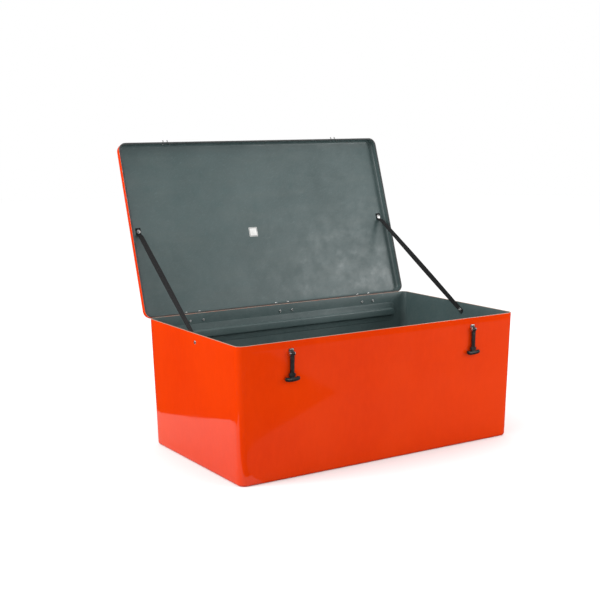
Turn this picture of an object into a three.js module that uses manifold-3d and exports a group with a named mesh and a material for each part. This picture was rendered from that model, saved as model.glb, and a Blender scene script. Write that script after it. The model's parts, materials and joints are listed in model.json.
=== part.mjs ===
// Glass-fibre storage chest with a hinged lid, held open on two webbing check straps.
// Millimetres, +Z up, +X to the right, +Y to the back. The origin is the centre of the base, on the floor.
// The lid stands open. It turns about the X axis through the hinge pins, behind the back wall.

import * as THREE from 'three';
import { mergeVertices } from 'three/addons/utils/BufferGeometryUtils.js';
import Module from 'manifold-3d';

const wasm = await Module();
wasm.setup();

// ---------------------------------------------------------------- driving dimensions

// Box moulding: the outside at the rim, narrower at the base by the draft on every side.
const BOX_LENGTH = 1200;
const BOX_DEPTH = 680;
const BOX_HEIGHT = 480;
const BOX_DRAFT = 12;
const BOX_WALL = 6;
const BOX_CORNER = 28;
const BASE_EDGE_RADIUS = 10;
const FLOOR_FILLET = 18;
const CORNER_STEPS = 6;
const ARC_STEPS = 4;

// Lid moulding: a shallow tray turned over the box.
const LID_DEPTH = 34;
const LID_WALL = 5;
const LID_OVERHANG = 2;
const LID_EDGE_RADIUS = 11;
const LID_FLANGE_DRAFT = 1;
const LID_CROWN = 6;
const LID_OPEN_DEGREES = 108;

// Rubber seal on the lid's rim.
const SEAL_THICKNESS = 3.5;
const SEAL_WIDTH = 6;
const SEAL_TO_RIM = 0.5;

// Clearance between pieces that touch.
const FIT_GAP = 0.3;

// Stiffener bonded inside the back wall.
const STIFFENER_LENGTH = 1060;
const STIFFENER_HEIGHT = 30;
const STIFFENER_PROUD = 16;
const STIFFENER_BELOW_RIM = 80;
const STIFFENER_EDGE = 5;

// Butt hinges.
const HINGE_CENTRES = { left: -400, centre: 0, right: 400 };
// The pin lies below the rim, so the open lid's edge drops behind the back wall.
const HINGE_PIN_BELOW_RIM = 5.5;
const HINGE_LENGTH = 90;
const HINGE_LEAF_THICKNESS = 2;
const HINGE_BOX_LEAF_HEIGHT = 34;
const HINGE_LID_LEAF_HEIGHT = 28;
const HINGE_KNUCKLE_RADIUS = 4.5;
const HINGE_KNUCKLES = 5;
const HINGE_PIN_RADIUS = 2.2;
const HINGE_BORE_RADIUS = 2.6;
const HINGE_BOLT_SPACING = 56;
const HINGE_BOX_BOLT_DROP = 22;
const HINGE_LID_BOLT_RISE = 19;

// Draw latches on the front wall.
const LATCH_CENTRES = { left: -395, right: 395 };
const LATCH_PIN_BELOW_RIM = 43;
const LATCH_PIN_STANDOFF = 8.6;
const LATCH_PIN_RADIUS = 2.5;
const LATCH_EYE_RADIUS = 6;
const LATCH_EYE_WIDTH = 15;
const LATCH_NECK_WIDTH = 14;
const LATCH_THICKNESS = 7;
const LATCH_SHOULDER_REACH = 67;
const LATCH_SHOULDER_LENGTH = 11;
const LATCH_SHOULDER_WIDTH = 24;
const LATCH_HANDLE_REACH = 89;
const LATCH_HANDLE_WIDTH = 58;
const LATCH_HANDLE_RADIUS = 6;
const LATCH_HANDLE_BOW = 3;
const BRACKET_SHEET = 1.6;
const BRACKET_ABOVE_PIN = 17;
const BRACKET_BELOW_PIN = 9;
const BRACKET_NOSE_RADIUS = 5;
const BRACKET_RIVET_RISE = 12;
const BRACKET_RIVET_SPACING = 8.4;

// Latch keepers on the lid's front flange.
const KEEPER_WIDTH = 40;
const KEEPER_HEIGHT = 13;
const KEEPER_SHEET = 1.6;
const KEEPER_SLOT = 15;
const KEEPER_PRONG_WIDTH = 3.2;
const KEEPER_PRONG_THICKNESS = 2.4;
const KEEPER_PRONG_LENGTH = 12;
const KEEPER_TIP = 2;
const KEEPER_BELOW_SHOULDER = 2.4;
const KEEPER_RIVET_SPACING = 30;

// Webbing check straps, one at each end.
const STRAP_WIDTH = 20;
const STRAP_THICKNESS = 2;
const STRAP_BOX_Y = -38;
const STRAP_BOX_BELOW_RIM = 31;
const STRAP_LID_ALONG = 343;
const STRAP_LID_INSET = 35;
const STRAP_TAIL = 14;
const STRAP_STEPS = 16;

// Fasteners: shank radius, head radius, head height, tail radius and tail height of each kind.
const HINGE_BOLT = { shank: 2.5, head: 5, headHeight: 2.6, tail: 4.8, tailHeight: 4.5 };
const RIVET = { shank: 2, head: 3.2, headHeight: 1.4, tail: 3, tailHeight: 1.6 };
const STAY_BOLT = { shank: 3, head: 6.5, headHeight: 3, tail: 3, tailHeight: 7 };
const STAY_SCREW = { shank: 3, head: 8, headHeight: 2.4, tail: 6.5, tailHeight: 2.2 };
const STAY_WASHER_RADIUS = 9;
const STAY_WASHER_THICKNESS = 1.6;
const STAY_NUT_RADIUS = 5.6;
const STAY_NUT_HEIGHT = 4.6;
const ROUND_STEPS = 12;

// Blank label inside the lid.
const LABEL_SIZE = 38;
const LABEL_THICKNESS = 0.4;
const LABEL_X = -62;
const LABEL_ALONG = 314;

// ---------------------------------------------------------------- worked-out places

const DRAFT_ANGLE = Math.atan(BOX_DRAFT / BOX_HEIGHT);
const LID_RIM_Z = BOX_HEIGHT + SEAL_TO_RIM + SEAL_THICKNESS + FIT_GAP;
const LID_TOP_EDGE_Z = BOX_HEIGHT + LID_DEPTH;
const LID_HALF_X = BOX_LENGTH / 2 + LID_OVERHANG;
const LID_HALF_Y = (BOX_DEPTH + LID_OVERHANG) / 2;
const LID_CENTRE_Y = -LID_OVERHANG / 2;
const HINGE_Y = BOX_DEPTH / 2 + HINGE_KNUCKLE_RADIUS + FIT_GAP;
const HINGE_Z = BOX_HEIGHT - HINGE_PIN_BELOW_RIM;
const LATCH_PIN_Z = BOX_HEIGHT - LATCH_PIN_BELOW_RIM;
const STRAP_BOX_Z = BOX_HEIGHT - STRAP_BOX_BELOW_RIM;
const LID_UNDERSIDE_Z = LID_TOP_EDGE_Z - LID_WALL;
const CROWN_RUN = LID_HALF_Y * 0.7;
const STRAP_LID_EDGE_INSET = LID_OVERHANG + STRAP_LID_INSET;

/** Inset at which a face of the lid has turned from the flange into the crown. */
function crownEdge(wall) {
  return wall + LID_FLANGE_DRAFT + LID_EDGE_RADIUS - wall / 2;
}

/** Rise of a face of the lid over its edge, at an inset from the lid's outside. */
function crownRise(inset, wall) {
  const steps = THREE.MathUtils.clamp((inset - crownEdge(wall)) / CROWN_RUN, 0, 1) * ARC_STEPS;
  const low = Math.floor(steps);
  const height = (step) => LID_CROWN * Math.sin(Math.min(step, ARC_STEPS) / ARC_STEPS * Math.PI / 2);
  return THREE.MathUtils.lerp(height(low), height(low + 1), steps - low);
}

/** How far the outside of the box has drawn in at a height. */
function draftAt(z) {
  return BOX_DRAFT * (1 - z / BOX_HEIGHT);
}

// ---------------------------------------------------------------- materials

const MATERIALS = {
  gelcoat: new THREE.MeshStandardMaterial({ color: 0xe83e14, roughness: 0.2, metalness: 0 }),
  rubber: new THREE.MeshStandardMaterial({ color: 0x1b1b1c, roughness: 0.75, metalness: 0 }),
  flowcoat: new THREE.MeshStandardMaterial({ color: 0x69706c, roughness: 0.5, metalness: 0 }),
  steel: new THREE.MeshStandardMaterial({ color: 0xb9bbbd, roughness: 0.35, metalness: 1 }),
  webbing: new THREE.MeshStandardMaterial({ color: 0x17181a, roughness: 0.9, metalness: 0 }),
  label: new THREE.MeshStandardMaterial({ color: 0xe4e4e0, roughness: 0.5, metalness: 0 }),
};

// ---------------------------------------------------------------- shape helpers

/** Six times the volume that an indexed triangle mesh encloses; negative when it is inside out. */
function signedVolume(positions, index) {
  const a = new THREE.Vector3();
  const b = new THREE.Vector3();
  const c = new THREE.Vector3();
  let total = 0;
  for (let i = 0; i < index.length; i += 3) {
    a.fromArray(positions, index[i] * 3);
    b.fromArray(positions, index[i + 1] * 3);
    c.fromArray(positions, index[i + 2] * 3);
    total += a.dot(b.cross(c));
  }
  return total;
}

/** The same surface with shared vertices merged, collapsed triangles dropped and faces pointing out. */
function welded(geometry) {
  const bare = geometry.clone();
  bare.deleteAttribute('normal');
  bare.deleteAttribute('uv');
  const merged = mergeVertices(bare);
  const index = [];
  for (let i = 0; i < merged.index.count; i += 3) {
    const corners = [merged.index.getX(i), merged.index.getX(i + 1), merged.index.getX(i + 2)];
    if (new Set(corners).size === 3) {
      index.push(...corners);
    }
  }
  if (signedVolume(merged.attributes.position.array, index) < 0) {
    index.reverse();
  }
  merged.setIndex(index);
  return merged;
}

/** A closed geometry as a solid that can be cut and joined. */
function solid(geometry) {
  const mesh = welded(geometry);
  return new wasm.Manifold(new wasm.Mesh({
    numProp: 3,
    vertProperties: new Float32Array(mesh.attributes.position.array),
    triVerts: new Uint32Array(mesh.index.array),
  }));
}

/** A solid as a three.js geometry. */
function surface(manifold) {
  const mesh = manifold.getMesh();
  const geometry = new THREE.BufferGeometry();
  geometry.setAttribute('position', new THREE.BufferAttribute(mesh.vertProperties, 3));
  geometry.setIndex(new THREE.BufferAttribute(mesh.triVerts, 1));
  return geometry;
}

/** Joins the added geometries into one and cuts the others out of it. */
function shaped(added, removed = []) {
  let result = solid(added[0]);
  for (const geometry of added.slice(1)) {
    result = result.add(solid(geometry));
  }
  for (const geometry of removed) {
    result = result.subtract(solid(geometry));
  }
  return surface(result);
}

/** One outline of a rounded rectangle at a height, anticlockwise. */
function roundedRectangle(halfX, halfY, radius, z) {
  const points = [];
  const signs = [[1, 1], [-1, 1], [-1, -1], [1, -1]];
  signs.forEach(([signX, signY], corner) => {
    for (let step = 0; step <= CORNER_STEPS; step += 1) {
      const angle = (corner + step / CORNER_STEPS) * Math.PI / 2;
      const x = signX * (halfX - radius) + radius * Math.cos(angle);
      const y = signY * (halfY - radius) + radius * Math.sin(angle);
      points.push(new THREE.Vector3(x, y, z));
    }
  });
  return points;
}

/** A skin over successive outlines of equal length: capped at both ends, or joined into a ring. */
function lofted(rings, ring = false) {
  const count = rings[0].length;
  const vertices = rings.flat();
  const index = [];
  const bands = ring ? rings.length : rings.length - 1;
  for (let band = 0; band < bands; band += 1) {
    const low = band * count;
    const high = ((band + 1) % rings.length) * count;
    for (let i = 0; i < count; i += 1) {
      const next = (i + 1) % count;
      index.push(low + i, low + next, high + next, low + i, high + next, high + i);
    }
  }
  if (!ring) {
    const ends = [rings[0], rings[rings.length - 1]];
    ends.forEach((end, which) => {
      const centre = end.reduce((sum, point) => sum.add(point), new THREE.Vector3()).divideScalar(count);
      const first = which === 0 ? 0 : (rings.length - 1) * count;
      vertices.push(centre);
      for (let i = 0; i < count; i += 1) {
        const edge = [first + i, first + (i + 1) % count];
        index.push(vertices.length - 1, ...(which === 0 ? edge.reverse() : edge));
      }
    });
  }
  const geometry = new THREE.BufferGeometry().setFromPoints(vertices);
  geometry.setIndex(index);
  return geometry;
}

/** A block between two corners. */
function block(low, high) {
  const size = low.map((value, axis) => high[axis] - value);
  const centre = low.map((value, axis) => (high[axis] + value) / 2);
  return new THREE.BoxGeometry(...size).translate(...centre);
}

/** A round bar along X. */
function barAlongX(radius, length, x, y, z) {
  return new THREE.CylinderGeometry(radius, radius, length, ROUND_STEPS)
    .rotateZ(Math.PI / 2)
    .translate(x, y, z);
}

/** A round bar along Y. */
function barAlongY(radius, length, x, y, z) {
  return new THREE.CylinderGeometry(radius, radius, length, ROUND_STEPS).translate(x, y, z);
}

/**
 * A headed fastener on the Y axis. Its head stands on y = 0 towards -Y, its shank runs through the grip
 * towards +Y, and its tail stands on the far side.
 */
function fastener(kind, grip) {
  const profile = [
    [0, -kind.headHeight],
    [kind.head * 0.6, -kind.headHeight],
    [kind.head, -kind.headHeight * 0.35],
    [kind.head, 0],
    [kind.shank, 0],
    [kind.shank, grip],
    [kind.tail, grip],
    [kind.tail, grip + kind.tailHeight * 0.7],
    [kind.tail * 0.6, grip + kind.tailHeight],
    [0, grip + kind.tailHeight],
  ];
  return welded(new THREE.LatheGeometry(profile.map(([r, y]) => new THREE.Vector2(r, y)), ROUND_STEPS));
}

// ---------------------------------------------------------------- scene graph

const chest = new THREE.Group();
chest.name = 'storage_chest';

// The lid's pieces are placed where they are with the lid shut, and this pivot opens it.
const lidPivot = new THREE.Group();
lidPivot.position.set(0, HINGE_Y, HINGE_Z);
lidPivot.rotation.x = -THREE.MathUtils.degToRad(LID_OPEN_DEGREES);
const lid = new THREE.Group();
lid.position.set(0, -HINGE_Y, -HINGE_Z);
lidPivot.add(lid);
chest.add(lidPivot);

/** Adds a named piece to a group. */
function addPiece(parent, name, geometry, material) {
  const mesh = new THREE.Mesh(geometry, MATERIALS[material]);
  mesh.name = name;
  parent.add(mesh);
  return mesh;
}

/** A group on the outside of the front (side -1) or back (side 1) wall, tilted with its draft. */
function wallGroup(side, x, z) {
  const group = new THREE.Group();
  group.position.set(x, side * (BOX_DEPTH / 2 - draftAt(z)), z);
  group.rotation.x = -side * DRAFT_ANGLE;
  chest.add(group);
  return group;
}

// Where fasteners pass through the mouldings, as cutters in each moulding's own coordinates.
const boxHoles = [];
const lidHoles = [];

/** Cuts a hole along Y for a fastener, right through the wall at y. */
function holeAlongY(radius, x, y, z) {
  return barAlongY(radius + FIT_GAP, 6 * BOX_WALL, x, y, z);
}

// ---------------------------------------------------------------- box mouldings

/** Outline of the box at a height, drawn in from its outside by an inset. */
function boxOutline(z, inset) {
  const drawn = draftAt(z) + inset;
  const corner = Math.max(BOX_CORNER - inset, 2);
  return roundedRectangle(BOX_LENGTH / 2 - drawn, BOX_DEPTH / 2 - drawn, corner, z);
}

function boxShell() {
  const rings = [];
  for (let step = 0; step <= ARC_STEPS; step += 1) {
    const angle = step / ARC_STEPS * Math.PI / 2;
    const inset = BASE_EDGE_RADIUS * (1 - Math.sin(angle));
    rings.push(boxOutline(BASE_EDGE_RADIUS * (1 - Math.cos(angle)), inset));
  }
  rings.push(boxOutline(BOX_HEIGHT, 0));
  rings.push(boxOutline(BOX_HEIGHT, BOX_WALL));
  for (let step = 0; step <= ARC_STEPS; step += 1) {
    const angle = step / ARC_STEPS * Math.PI / 2;
    const inset = BOX_WALL + FLOOR_FILLET * (1 - Math.cos(angle));
    rings.push(boxOutline(BOX_WALL + FLOOR_FILLET * (1 - Math.sin(angle)), inset));
  }
  return shaped([lofted(rings)], boxHoles);
}

function backStiffener() {
  const halfX = STIFFENER_LENGTH / 2;
  const halfZ = STIFFENER_HEIGHT / 2;
  const rings = [roundedRectangle(halfX, halfZ, halfZ - 1, 0)];
  for (let step = 0; step <= ARC_STEPS; step += 1) {
    const angle = step / ARC_STEPS * Math.PI / 2;
    const inset = STIFFENER_EDGE * (1 - Math.cos(angle));
    const proud = STIFFENER_PROUD - STIFFENER_EDGE * (1 - Math.sin(angle));
    rings.push(roundedRectangle(halfX - inset, halfZ - inset, halfZ - inset - 1, proud));
  }
  const geometry = lofted(rings).rotateX(Math.PI / 2);
  const group = wallGroup(1, 0, BOX_HEIGHT - STIFFENER_BELOW_RIM);
  return addPiece(group, 'back_stiffener', geometry.translate(0, -BOX_WALL - FIT_GAP, 0), 'flowcoat');
}

// ---------------------------------------------------------------- lid mouldings

/** Outline of the lid at a height, drawn in from its outside by an inset, with the lid shut. */
function lidOutline(z, inset) {
  const corner = Math.max(BOX_CORNER + LID_OVERHANG - inset, LID_EDGE_RADIUS);
  const outline = roundedRectangle(LID_HALF_X - inset, LID_HALF_Y - inset, corner, z);
  return outline.map((point) => point.setY(point.y + LID_CENTRE_Y));
}

/** Insets and heights up one face of the lid, from its rim over the edge to the crown. */
function lidFace(wall) {
  const radius = LID_EDGE_RADIUS - wall / 2;
  const top = LID_TOP_EDGE_Z - wall;
  const rings = [[wall, LID_RIM_Z]];
  for (let step = 0; step <= ARC_STEPS; step += 1) {
    const angle = step / ARC_STEPS * Math.PI / 2;
    const inset = wall + LID_FLANGE_DRAFT + radius * (1 - Math.cos(angle));
    rings.push([inset, top - radius * (1 - Math.sin(angle))]);
  }
  for (let step = 1; step <= ARC_STEPS; step += 1) {
    const inset = crownEdge(wall) + CROWN_RUN * step / ARC_STEPS;
    rings.push([inset, top + crownRise(inset, wall)]);
  }
  return rings.map(([inset, z]) => lidOutline(z, inset));
}

function lidShell() {
  const rings = [...lidFace(0).reverse(), ...lidFace(LID_WALL)];
  return shaped([lofted(rings)], lidHoles);
}

function lidSeal() {
  const low = BOX_HEIGHT + SEAL_TO_RIM;
  const high = low + SEAL_THICKNESS;
  const edge = 0.6;
  const section = [
    [edge, low],
    [0, low + edge],
    [0, high],
    [SEAL_WIDTH, high],
    [SEAL_WIDTH, low + edge],
    [SEAL_WIDTH - edge, low],
  ];
  return welded(lofted(section.map(([inset, z]) => lidOutline(z, inset)), true));
}

// ---------------------------------------------------------------- hinges

/** X centres of the knuckles that one leaf carries: even ones on the box, odd ones on the lid. */
function knuckleCentres(first) {
  const pitch = HINGE_LENGTH / HINGE_KNUCKLES;
  const centres = [];
  for (let knuckle = first; knuckle < HINGE_KNUCKLES; knuckle += 2) {
    centres.push(-HINGE_LENGTH / 2 + pitch * (knuckle + 0.5));
  }
  return centres;
}

/** A hinge leaf about its pin's axis. It hangs down from it, or stands up when up is 1. */
function hingeLeaf(first, up, height, boltReach) {
  const back = -HINGE_KNUCKLE_RADIUS;
  const front = back + HINGE_LEAF_THICKNESS;
  const clear = HINGE_KNUCKLE_RADIUS + 2 * FIT_GAP;
  const half = HINGE_LENGTH / 2;
  const knuckleLength = HINGE_LENGTH / HINGE_KNUCKLES - 2 * FIT_GAP;
  const span = (near, far) => (up > 0 ? [near, far] : [-far, -near]);
  const [plateLow, plateHigh] = span(clear, height);
  const [tabLow, tabHigh] = span(0, clear + 1);
  const added = [block([-half, back, plateLow], [half, front, plateHigh])];
  for (const x of knuckleCentres(first)) {
    added.push(block([x - knuckleLength / 2, back, tabLow], [x + knuckleLength / 2, front, tabHigh]));
    added.push(barAlongX(HINGE_KNUCKLE_RADIUS, knuckleLength, x, 0, 0));
  }
  const removed = [barAlongX(HINGE_BORE_RADIUS, HINGE_LENGTH + 2, 0, 0, 0)];
  for (const side of [-1, 1]) {
    const x = side * HINGE_BOLT_SPACING / 2;
    removed.push(barAlongY(HINGE_BOLT.shank + FIT_GAP, 4 * HINGE_KNUCKLE_RADIUS, x, 0, up * boltReach));
  }
  return shaped(added, removed);
}

function hingePin() {
  const half = HINGE_LENGTH / 2 + FIT_GAP;
  const head = 1.8;
  const profile = [
    [0, -half - head],
    [HINGE_KNUCKLE_RADIUS * 0.7, -half - head],
    [HINGE_KNUCKLE_RADIUS * 0.9, -half],
    [HINGE_PIN_RADIUS, -half],
    [HINGE_PIN_RADIUS, half],
    [HINGE_KNUCKLE_RADIUS * 0.9, half],
    [HINGE_KNUCKLE_RADIUS * 0.7, half + head],
    [0, half + head],
  ];
  const points = profile.map(([r, y]) => new THREE.Vector2(r, y));
  return welded(new THREE.LatheGeometry(points, ROUND_STEPS)).rotateZ(Math.PI / 2);
}

function addHinge(name, x) {
  const boxSide = new THREE.Group();
  boxSide.position.set(x, HINGE_Y, HINGE_Z);
  boxSide.rotation.x = -DRAFT_ANGLE;
  chest.add(boxSide);
  const lidSide = new THREE.Group();
  lidSide.position.set(x, HINGE_Y, HINGE_Z);
  lid.add(lidSide);

  const boxReach = HINGE_BOX_BOLT_DROP;
  const lidReach = HINGE_LID_BOLT_RISE;
  addPiece(boxSide, `${name}_hinge_box_leaf`, hingeLeaf(0, -1, HINGE_BOX_LEAF_HEIGHT, boxReach), 'steel');
  addPiece(boxSide, `${name}_hinge_pin`, hingePin(), 'steel');
  addPiece(lidSide, `${name}_hinge_lid_leaf`, hingeLeaf(1, 1, HINGE_LID_LEAF_HEIGHT, lidReach), 'steel');

  const headFace = -HINGE_KNUCKLE_RADIUS + HINGE_LEAF_THICKNESS + FIT_GAP;
  const leafAndGaps = HINGE_LEAF_THICKNESS + 4 * FIT_GAP;
  [-1, 1].forEach((side, number) => {
    const boltX = side * HINGE_BOLT_SPACING / 2;
    const boxBolt = fastener(HINGE_BOLT, leafAndGaps + BOX_WALL).rotateZ(Math.PI);
    boxBolt.translate(boltX, headFace, -boxReach);
    addPiece(boxSide, `${name}_hinge_box_bolt_${number + 1}`, boxBolt, 'steel');
    const lidBolt = fastener(HINGE_BOLT, leafAndGaps + LID_WALL + LID_FLANGE_DRAFT).rotateZ(Math.PI);
    lidBolt.translate(boltX, headFace, lidReach);
    addPiece(lidSide, `${name}_hinge_lid_bolt_${number + 1}`, lidBolt, 'steel');

    const boxHole = holeAlongY(HINGE_BOLT.shank, boltX, 0, -boxReach).rotateX(-DRAFT_ANGLE);
    boxHoles.push(boxHole.translate(x, HINGE_Y, HINGE_Z));
    lidHoles.push(holeAlongY(HINGE_BOLT.shank, x + boltX, HINGE_Y, HINGE_Z + lidReach));
  });
}

// ---------------------------------------------------------------- latches

/** The bracket on the front wall, about its pin's axis: a riveted plate with two cheeks. */
function latchBracket() {
  const wallY = LATCH_PIN_STANDOFF - FIT_GAP;
  const cheekInside = LATCH_EYE_WIDTH / 2 + 2 * FIT_GAP;
  const half = cheekInside + BRACKET_SHEET;
  const plate = block([-half, wallY - BRACKET_SHEET, -BRACKET_BELOW_PIN], [half, wallY, BRACKET_ABOVE_PIN]);
  const outline = new THREE.Shape();
  outline.moveTo(wallY, -BRACKET_BELOW_PIN);
  outline.lineTo(wallY, BRACKET_BELOW_PIN);
  outline.absarc(0, 0, BRACKET_NOSE_RADIUS, Math.PI / 2, Math.PI * 3 / 2, false);
  outline.closePath();
  const cheeks = [-1, 1].map((side) => {
    const sheet = { depth: BRACKET_SHEET, bevelEnabled: false, curveSegments: 8 };
    const cheek = new THREE.ExtrudeGeometry(outline, sheet);
    // The outline is drawn as (y, z) and pulled along x.
    cheek.applyMatrix4(new THREE.Matrix4().makeBasis(
      new THREE.Vector3(0, 1, 0),
      new THREE.Vector3(0, 0, 1),
      new THREE.Vector3(1, 0, 0),
    ));
    return cheek.translate(side > 0 ? cheekInside : -half, 0, 0);
  });
  const removed = [barAlongX(LATCH_PIN_RADIUS + FIT_GAP, 4 * half, 0, 0, 0)];
  for (const side of [-1, 1]) {
    const x = side * BRACKET_RIVET_SPACING / 2;
    removed.push(barAlongY(RIVET.shank + FIT_GAP, 4 * BRACKET_SHEET, x, wallY, BRACKET_RIVET_RISE));
  }
  return shaped([plate, ...cheeks], removed);
}

/** The cross pin, with a head outside each cheek. */
function latchPin() {
  const half = LATCH_EYE_WIDTH / 2 + 3 * FIT_GAP + BRACKET_SHEET;
  const head = 1.6;
  const profile = [
    [0, -half - head],
    [LATCH_PIN_RADIUS, -half - head],
    [LATCH_PIN_RADIUS + 1.2, -half - head / 2],
    [LATCH_PIN_RADIUS + 1.2, -half],
    [LATCH_PIN_RADIUS, -half],
    [LATCH_PIN_RADIUS, half],
    [LATCH_PIN_RADIUS + 1.2, half],
    [LATCH_PIN_RADIUS + 1.2, half + head / 2],
    [LATCH_PIN_RADIUS, half + head],
    [0, half + head],
  ];
  const points = profile.map(([r, y]) => new THREE.Vector2(r, y));
  return welded(new THREE.LatheGeometry(points, ROUND_STEPS)).rotateZ(Math.PI / 2);
}

/** The rubber strap hanging from its pin: eye, neck, shoulder and bowed T handle. */
function latchHandle() {
  const reach = LATCH_SHOULDER_REACH;
  const shoulderEnd = reach + LATCH_SHOULDER_LENGTH;
  const outline = new THREE.Shape();
  const side = [
    [LATCH_EYE_WIDTH / 2, 0],
    [LATCH_EYE_WIDTH / 2, -LATCH_EYE_RADIUS - 8],
    [LATCH_NECK_WIDTH / 2, -LATCH_EYE_RADIUS - 20],
    [LATCH_NECK_WIDTH / 2, -reach],
    [LATCH_SHOULDER_WIDTH / 2, -reach],
    [LATCH_SHOULDER_WIDTH / 2, -shoulderEnd + 2],
    [LATCH_SHOULDER_WIDTH / 2 - 3, -shoulderEnd],
    [LATCH_EYE_WIDTH / 2, -shoulderEnd - 2],
    [LATCH_EYE_WIDTH / 2, -LATCH_HANDLE_REACH],
  ];
  side.forEach(([x, z], number) => (number ? outline.lineTo(x, z) : outline.moveTo(x, z)));
  side.reverse().forEach(([x, z]) => outline.lineTo(-x, z));
  outline.closePath();
  const strap = new THREE.ExtrudeGeometry(outline, { depth: LATCH_THICKNESS, bevelEnabled: false })
    .rotateX(Math.PI / 2)
    .translate(0, LATCH_THICKNESS / 2, 0);
  const half = LATCH_HANDLE_WIDTH / 2 - LATCH_HANDLE_RADIUS;
  const ends = [
    new THREE.Vector3(-half, -LATCH_HANDLE_BOW / 2, LATCH_HANDLE_BOW - LATCH_HANDLE_REACH),
    new THREE.Vector3(half, -LATCH_HANDLE_BOW / 2, LATCH_HANDLE_BOW - LATCH_HANDLE_REACH),
  ];
  const middle = new THREE.Vector3(0, LATCH_HANDLE_BOW / 2, -LATCH_HANDLE_BOW - LATCH_HANDLE_REACH);
  const bow = new THREE.QuadraticBezierCurve3(ends[0], middle, ends[1]);
  const section = new THREE.Shape().absarc(0, 0, LATCH_HANDLE_RADIUS, 0, 2 * Math.PI, false);
  const bar = new THREE.ExtrudeGeometry(section, { extrudePath: bow, steps: 6, curveSegments: 5 });
  const tips = ends.map((end) => {
    const tip = new THREE.SphereGeometry(LATCH_HANDLE_RADIUS, 12, 6);
    return tip.translate(end.x, end.y, end.z);
  });
  const eye = barAlongX(LATCH_EYE_RADIUS, LATCH_EYE_WIDTH, 0, 0, 0);
  const bore = barAlongX(LATCH_PIN_RADIUS + FIT_GAP, 2 * LATCH_EYE_WIDTH, 0, 0, 0);
  return shaped([strap, eye, bar, ...tips], [bore]);
}

/** The forked keeper on the lid's front flange. Its plate's back is y = 0 and its prongs point to -Y. */
function latchKeeper() {
  const half = KEEPER_WIDTH / 2;
  const prongTop = KEEPER_HEIGHT - 1.5;
  const prongLow = prongTop - KEEPER_PRONG_THICKNESS;
  const added = [block([-half, -KEEPER_SHEET, 0], [half, 0, KEEPER_HEIGHT])];
  for (const side of [-1, 1]) {
    const near = side * KEEPER_SLOT / 2;
    const far = side * (KEEPER_SLOT / 2 + KEEPER_PRONG_WIDTH);
    const [lowX, highX] = [Math.min(near, far), Math.max(near, far)];
    const tipY = -KEEPER_PRONG_LENGTH;
    added.push(block([lowX, tipY, prongLow], [highX, -KEEPER_SHEET / 2, prongTop]));
    added.push(block([lowX, tipY, prongLow], [highX, tipY + KEEPER_TIP, prongTop + KEEPER_TIP]));
  }
  const removed = [-1, 1].map((side) => {
    const x = side * KEEPER_RIVET_SPACING / 2;
    return barAlongY(RIVET.shank + FIT_GAP, 4 * KEEPER_SHEET, x, 0, KEEPER_HEIGHT / 2);
  });
  return shaped(added, removed);
}

function addLatch(name, x) {
  const group = wallGroup(-1, x, LATCH_PIN_Z);
  const pivot = new THREE.Group();
  pivot.position.y = -LATCH_PIN_STANDOFF;
  group.add(pivot);
  addPiece(pivot, `${name}_latch_bracket`, latchBracket(), 'steel');
  addPiece(pivot, `${name}_latch_pin`, latchPin(), 'steel');
  addPiece(pivot, `${name}_latch_handle`, latchHandle(), 'rubber');

  // The keeper's tips stop just short of the shoulder when the handle is swung up.
  const keeperTop = LATCH_PIN_Z + LATCH_SHOULDER_REACH - KEEPER_BELOW_SHOULDER;
  const keeperGroup = new THREE.Group();
  const keeperLow = keeperTop - KEEPER_HEIGHT - KEEPER_TIP + 1.5;
  keeperGroup.position.set(x, LID_CENTRE_Y - LID_HALF_Y - FIT_GAP, keeperLow);
  lid.add(keeperGroup);
  addPiece(keeperGroup, `${name}_keeper`, latchKeeper(), 'steel');

  [-1, 1].forEach((side, number) => {
    const rivetX = side * BRACKET_RIVET_SPACING / 2;
    const rivet = fastener(RIVET, BRACKET_SHEET + 4 * FIT_GAP + BOX_WALL);
    rivet.translate(rivetX, -2 * FIT_GAP - BRACKET_SHEET, BRACKET_RIVET_RISE);
    addPiece(group, `${name}_latch_rivet_${number + 1}`, rivet, 'steel');
    const hole = holeAlongY(RIVET.shank, rivetX, 0, BRACKET_RIVET_RISE).rotateX(DRAFT_ANGLE);
    boxHoles.push(hole.translate(group.position.x, group.position.y, group.position.z));

    const keeperX = side * KEEPER_RIVET_SPACING / 2;
    const keeperRivet = fastener(RIVET, KEEPER_SHEET + 4 * FIT_GAP + LID_WALL + LID_FLANGE_DRAFT);
    keeperRivet.translate(keeperX, -FIT_GAP - KEEPER_SHEET, KEEPER_HEIGHT / 2);
    addPiece(keeperGroup, `${name}_keeper_rivet_${number + 1}`, keeperRivet, 'steel');
    const lidHoleZ = keeperLow + KEEPER_HEIGHT / 2;
    lidHoles.push(holeAlongY(RIVET.shank, x + keeperX, LID_CENTRE_Y - LID_HALF_Y, lidHoleZ));
  });
}

// ---------------------------------------------------------------- check straps

/** The strap's face on the inside of the lid, clear of the crown's slope under its width. */
const STRAP_LID_RISE = crownRise(STRAP_LID_EDGE_INSET - STRAP_WIDTH / 2, LID_WALL);
const STRAP_LID_FACE_Z = LID_UNDERSIDE_Z + STRAP_LID_RISE - FIT_GAP;
const LID_TOP_AT_STRAP_Z = LID_TOP_EDGE_Z + crownRise(STRAP_LID_EDGE_INSET + STAY_SCREW.tail, 0);

/** A point given with the lid shut, where it is with the lid open. */
function onOpenLid(x, y, z) {
  lidPivot.updateMatrixWorld(true);
  return new THREE.Vector3(x, y, z).applyMatrix4(lid.matrixWorld);
}

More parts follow.
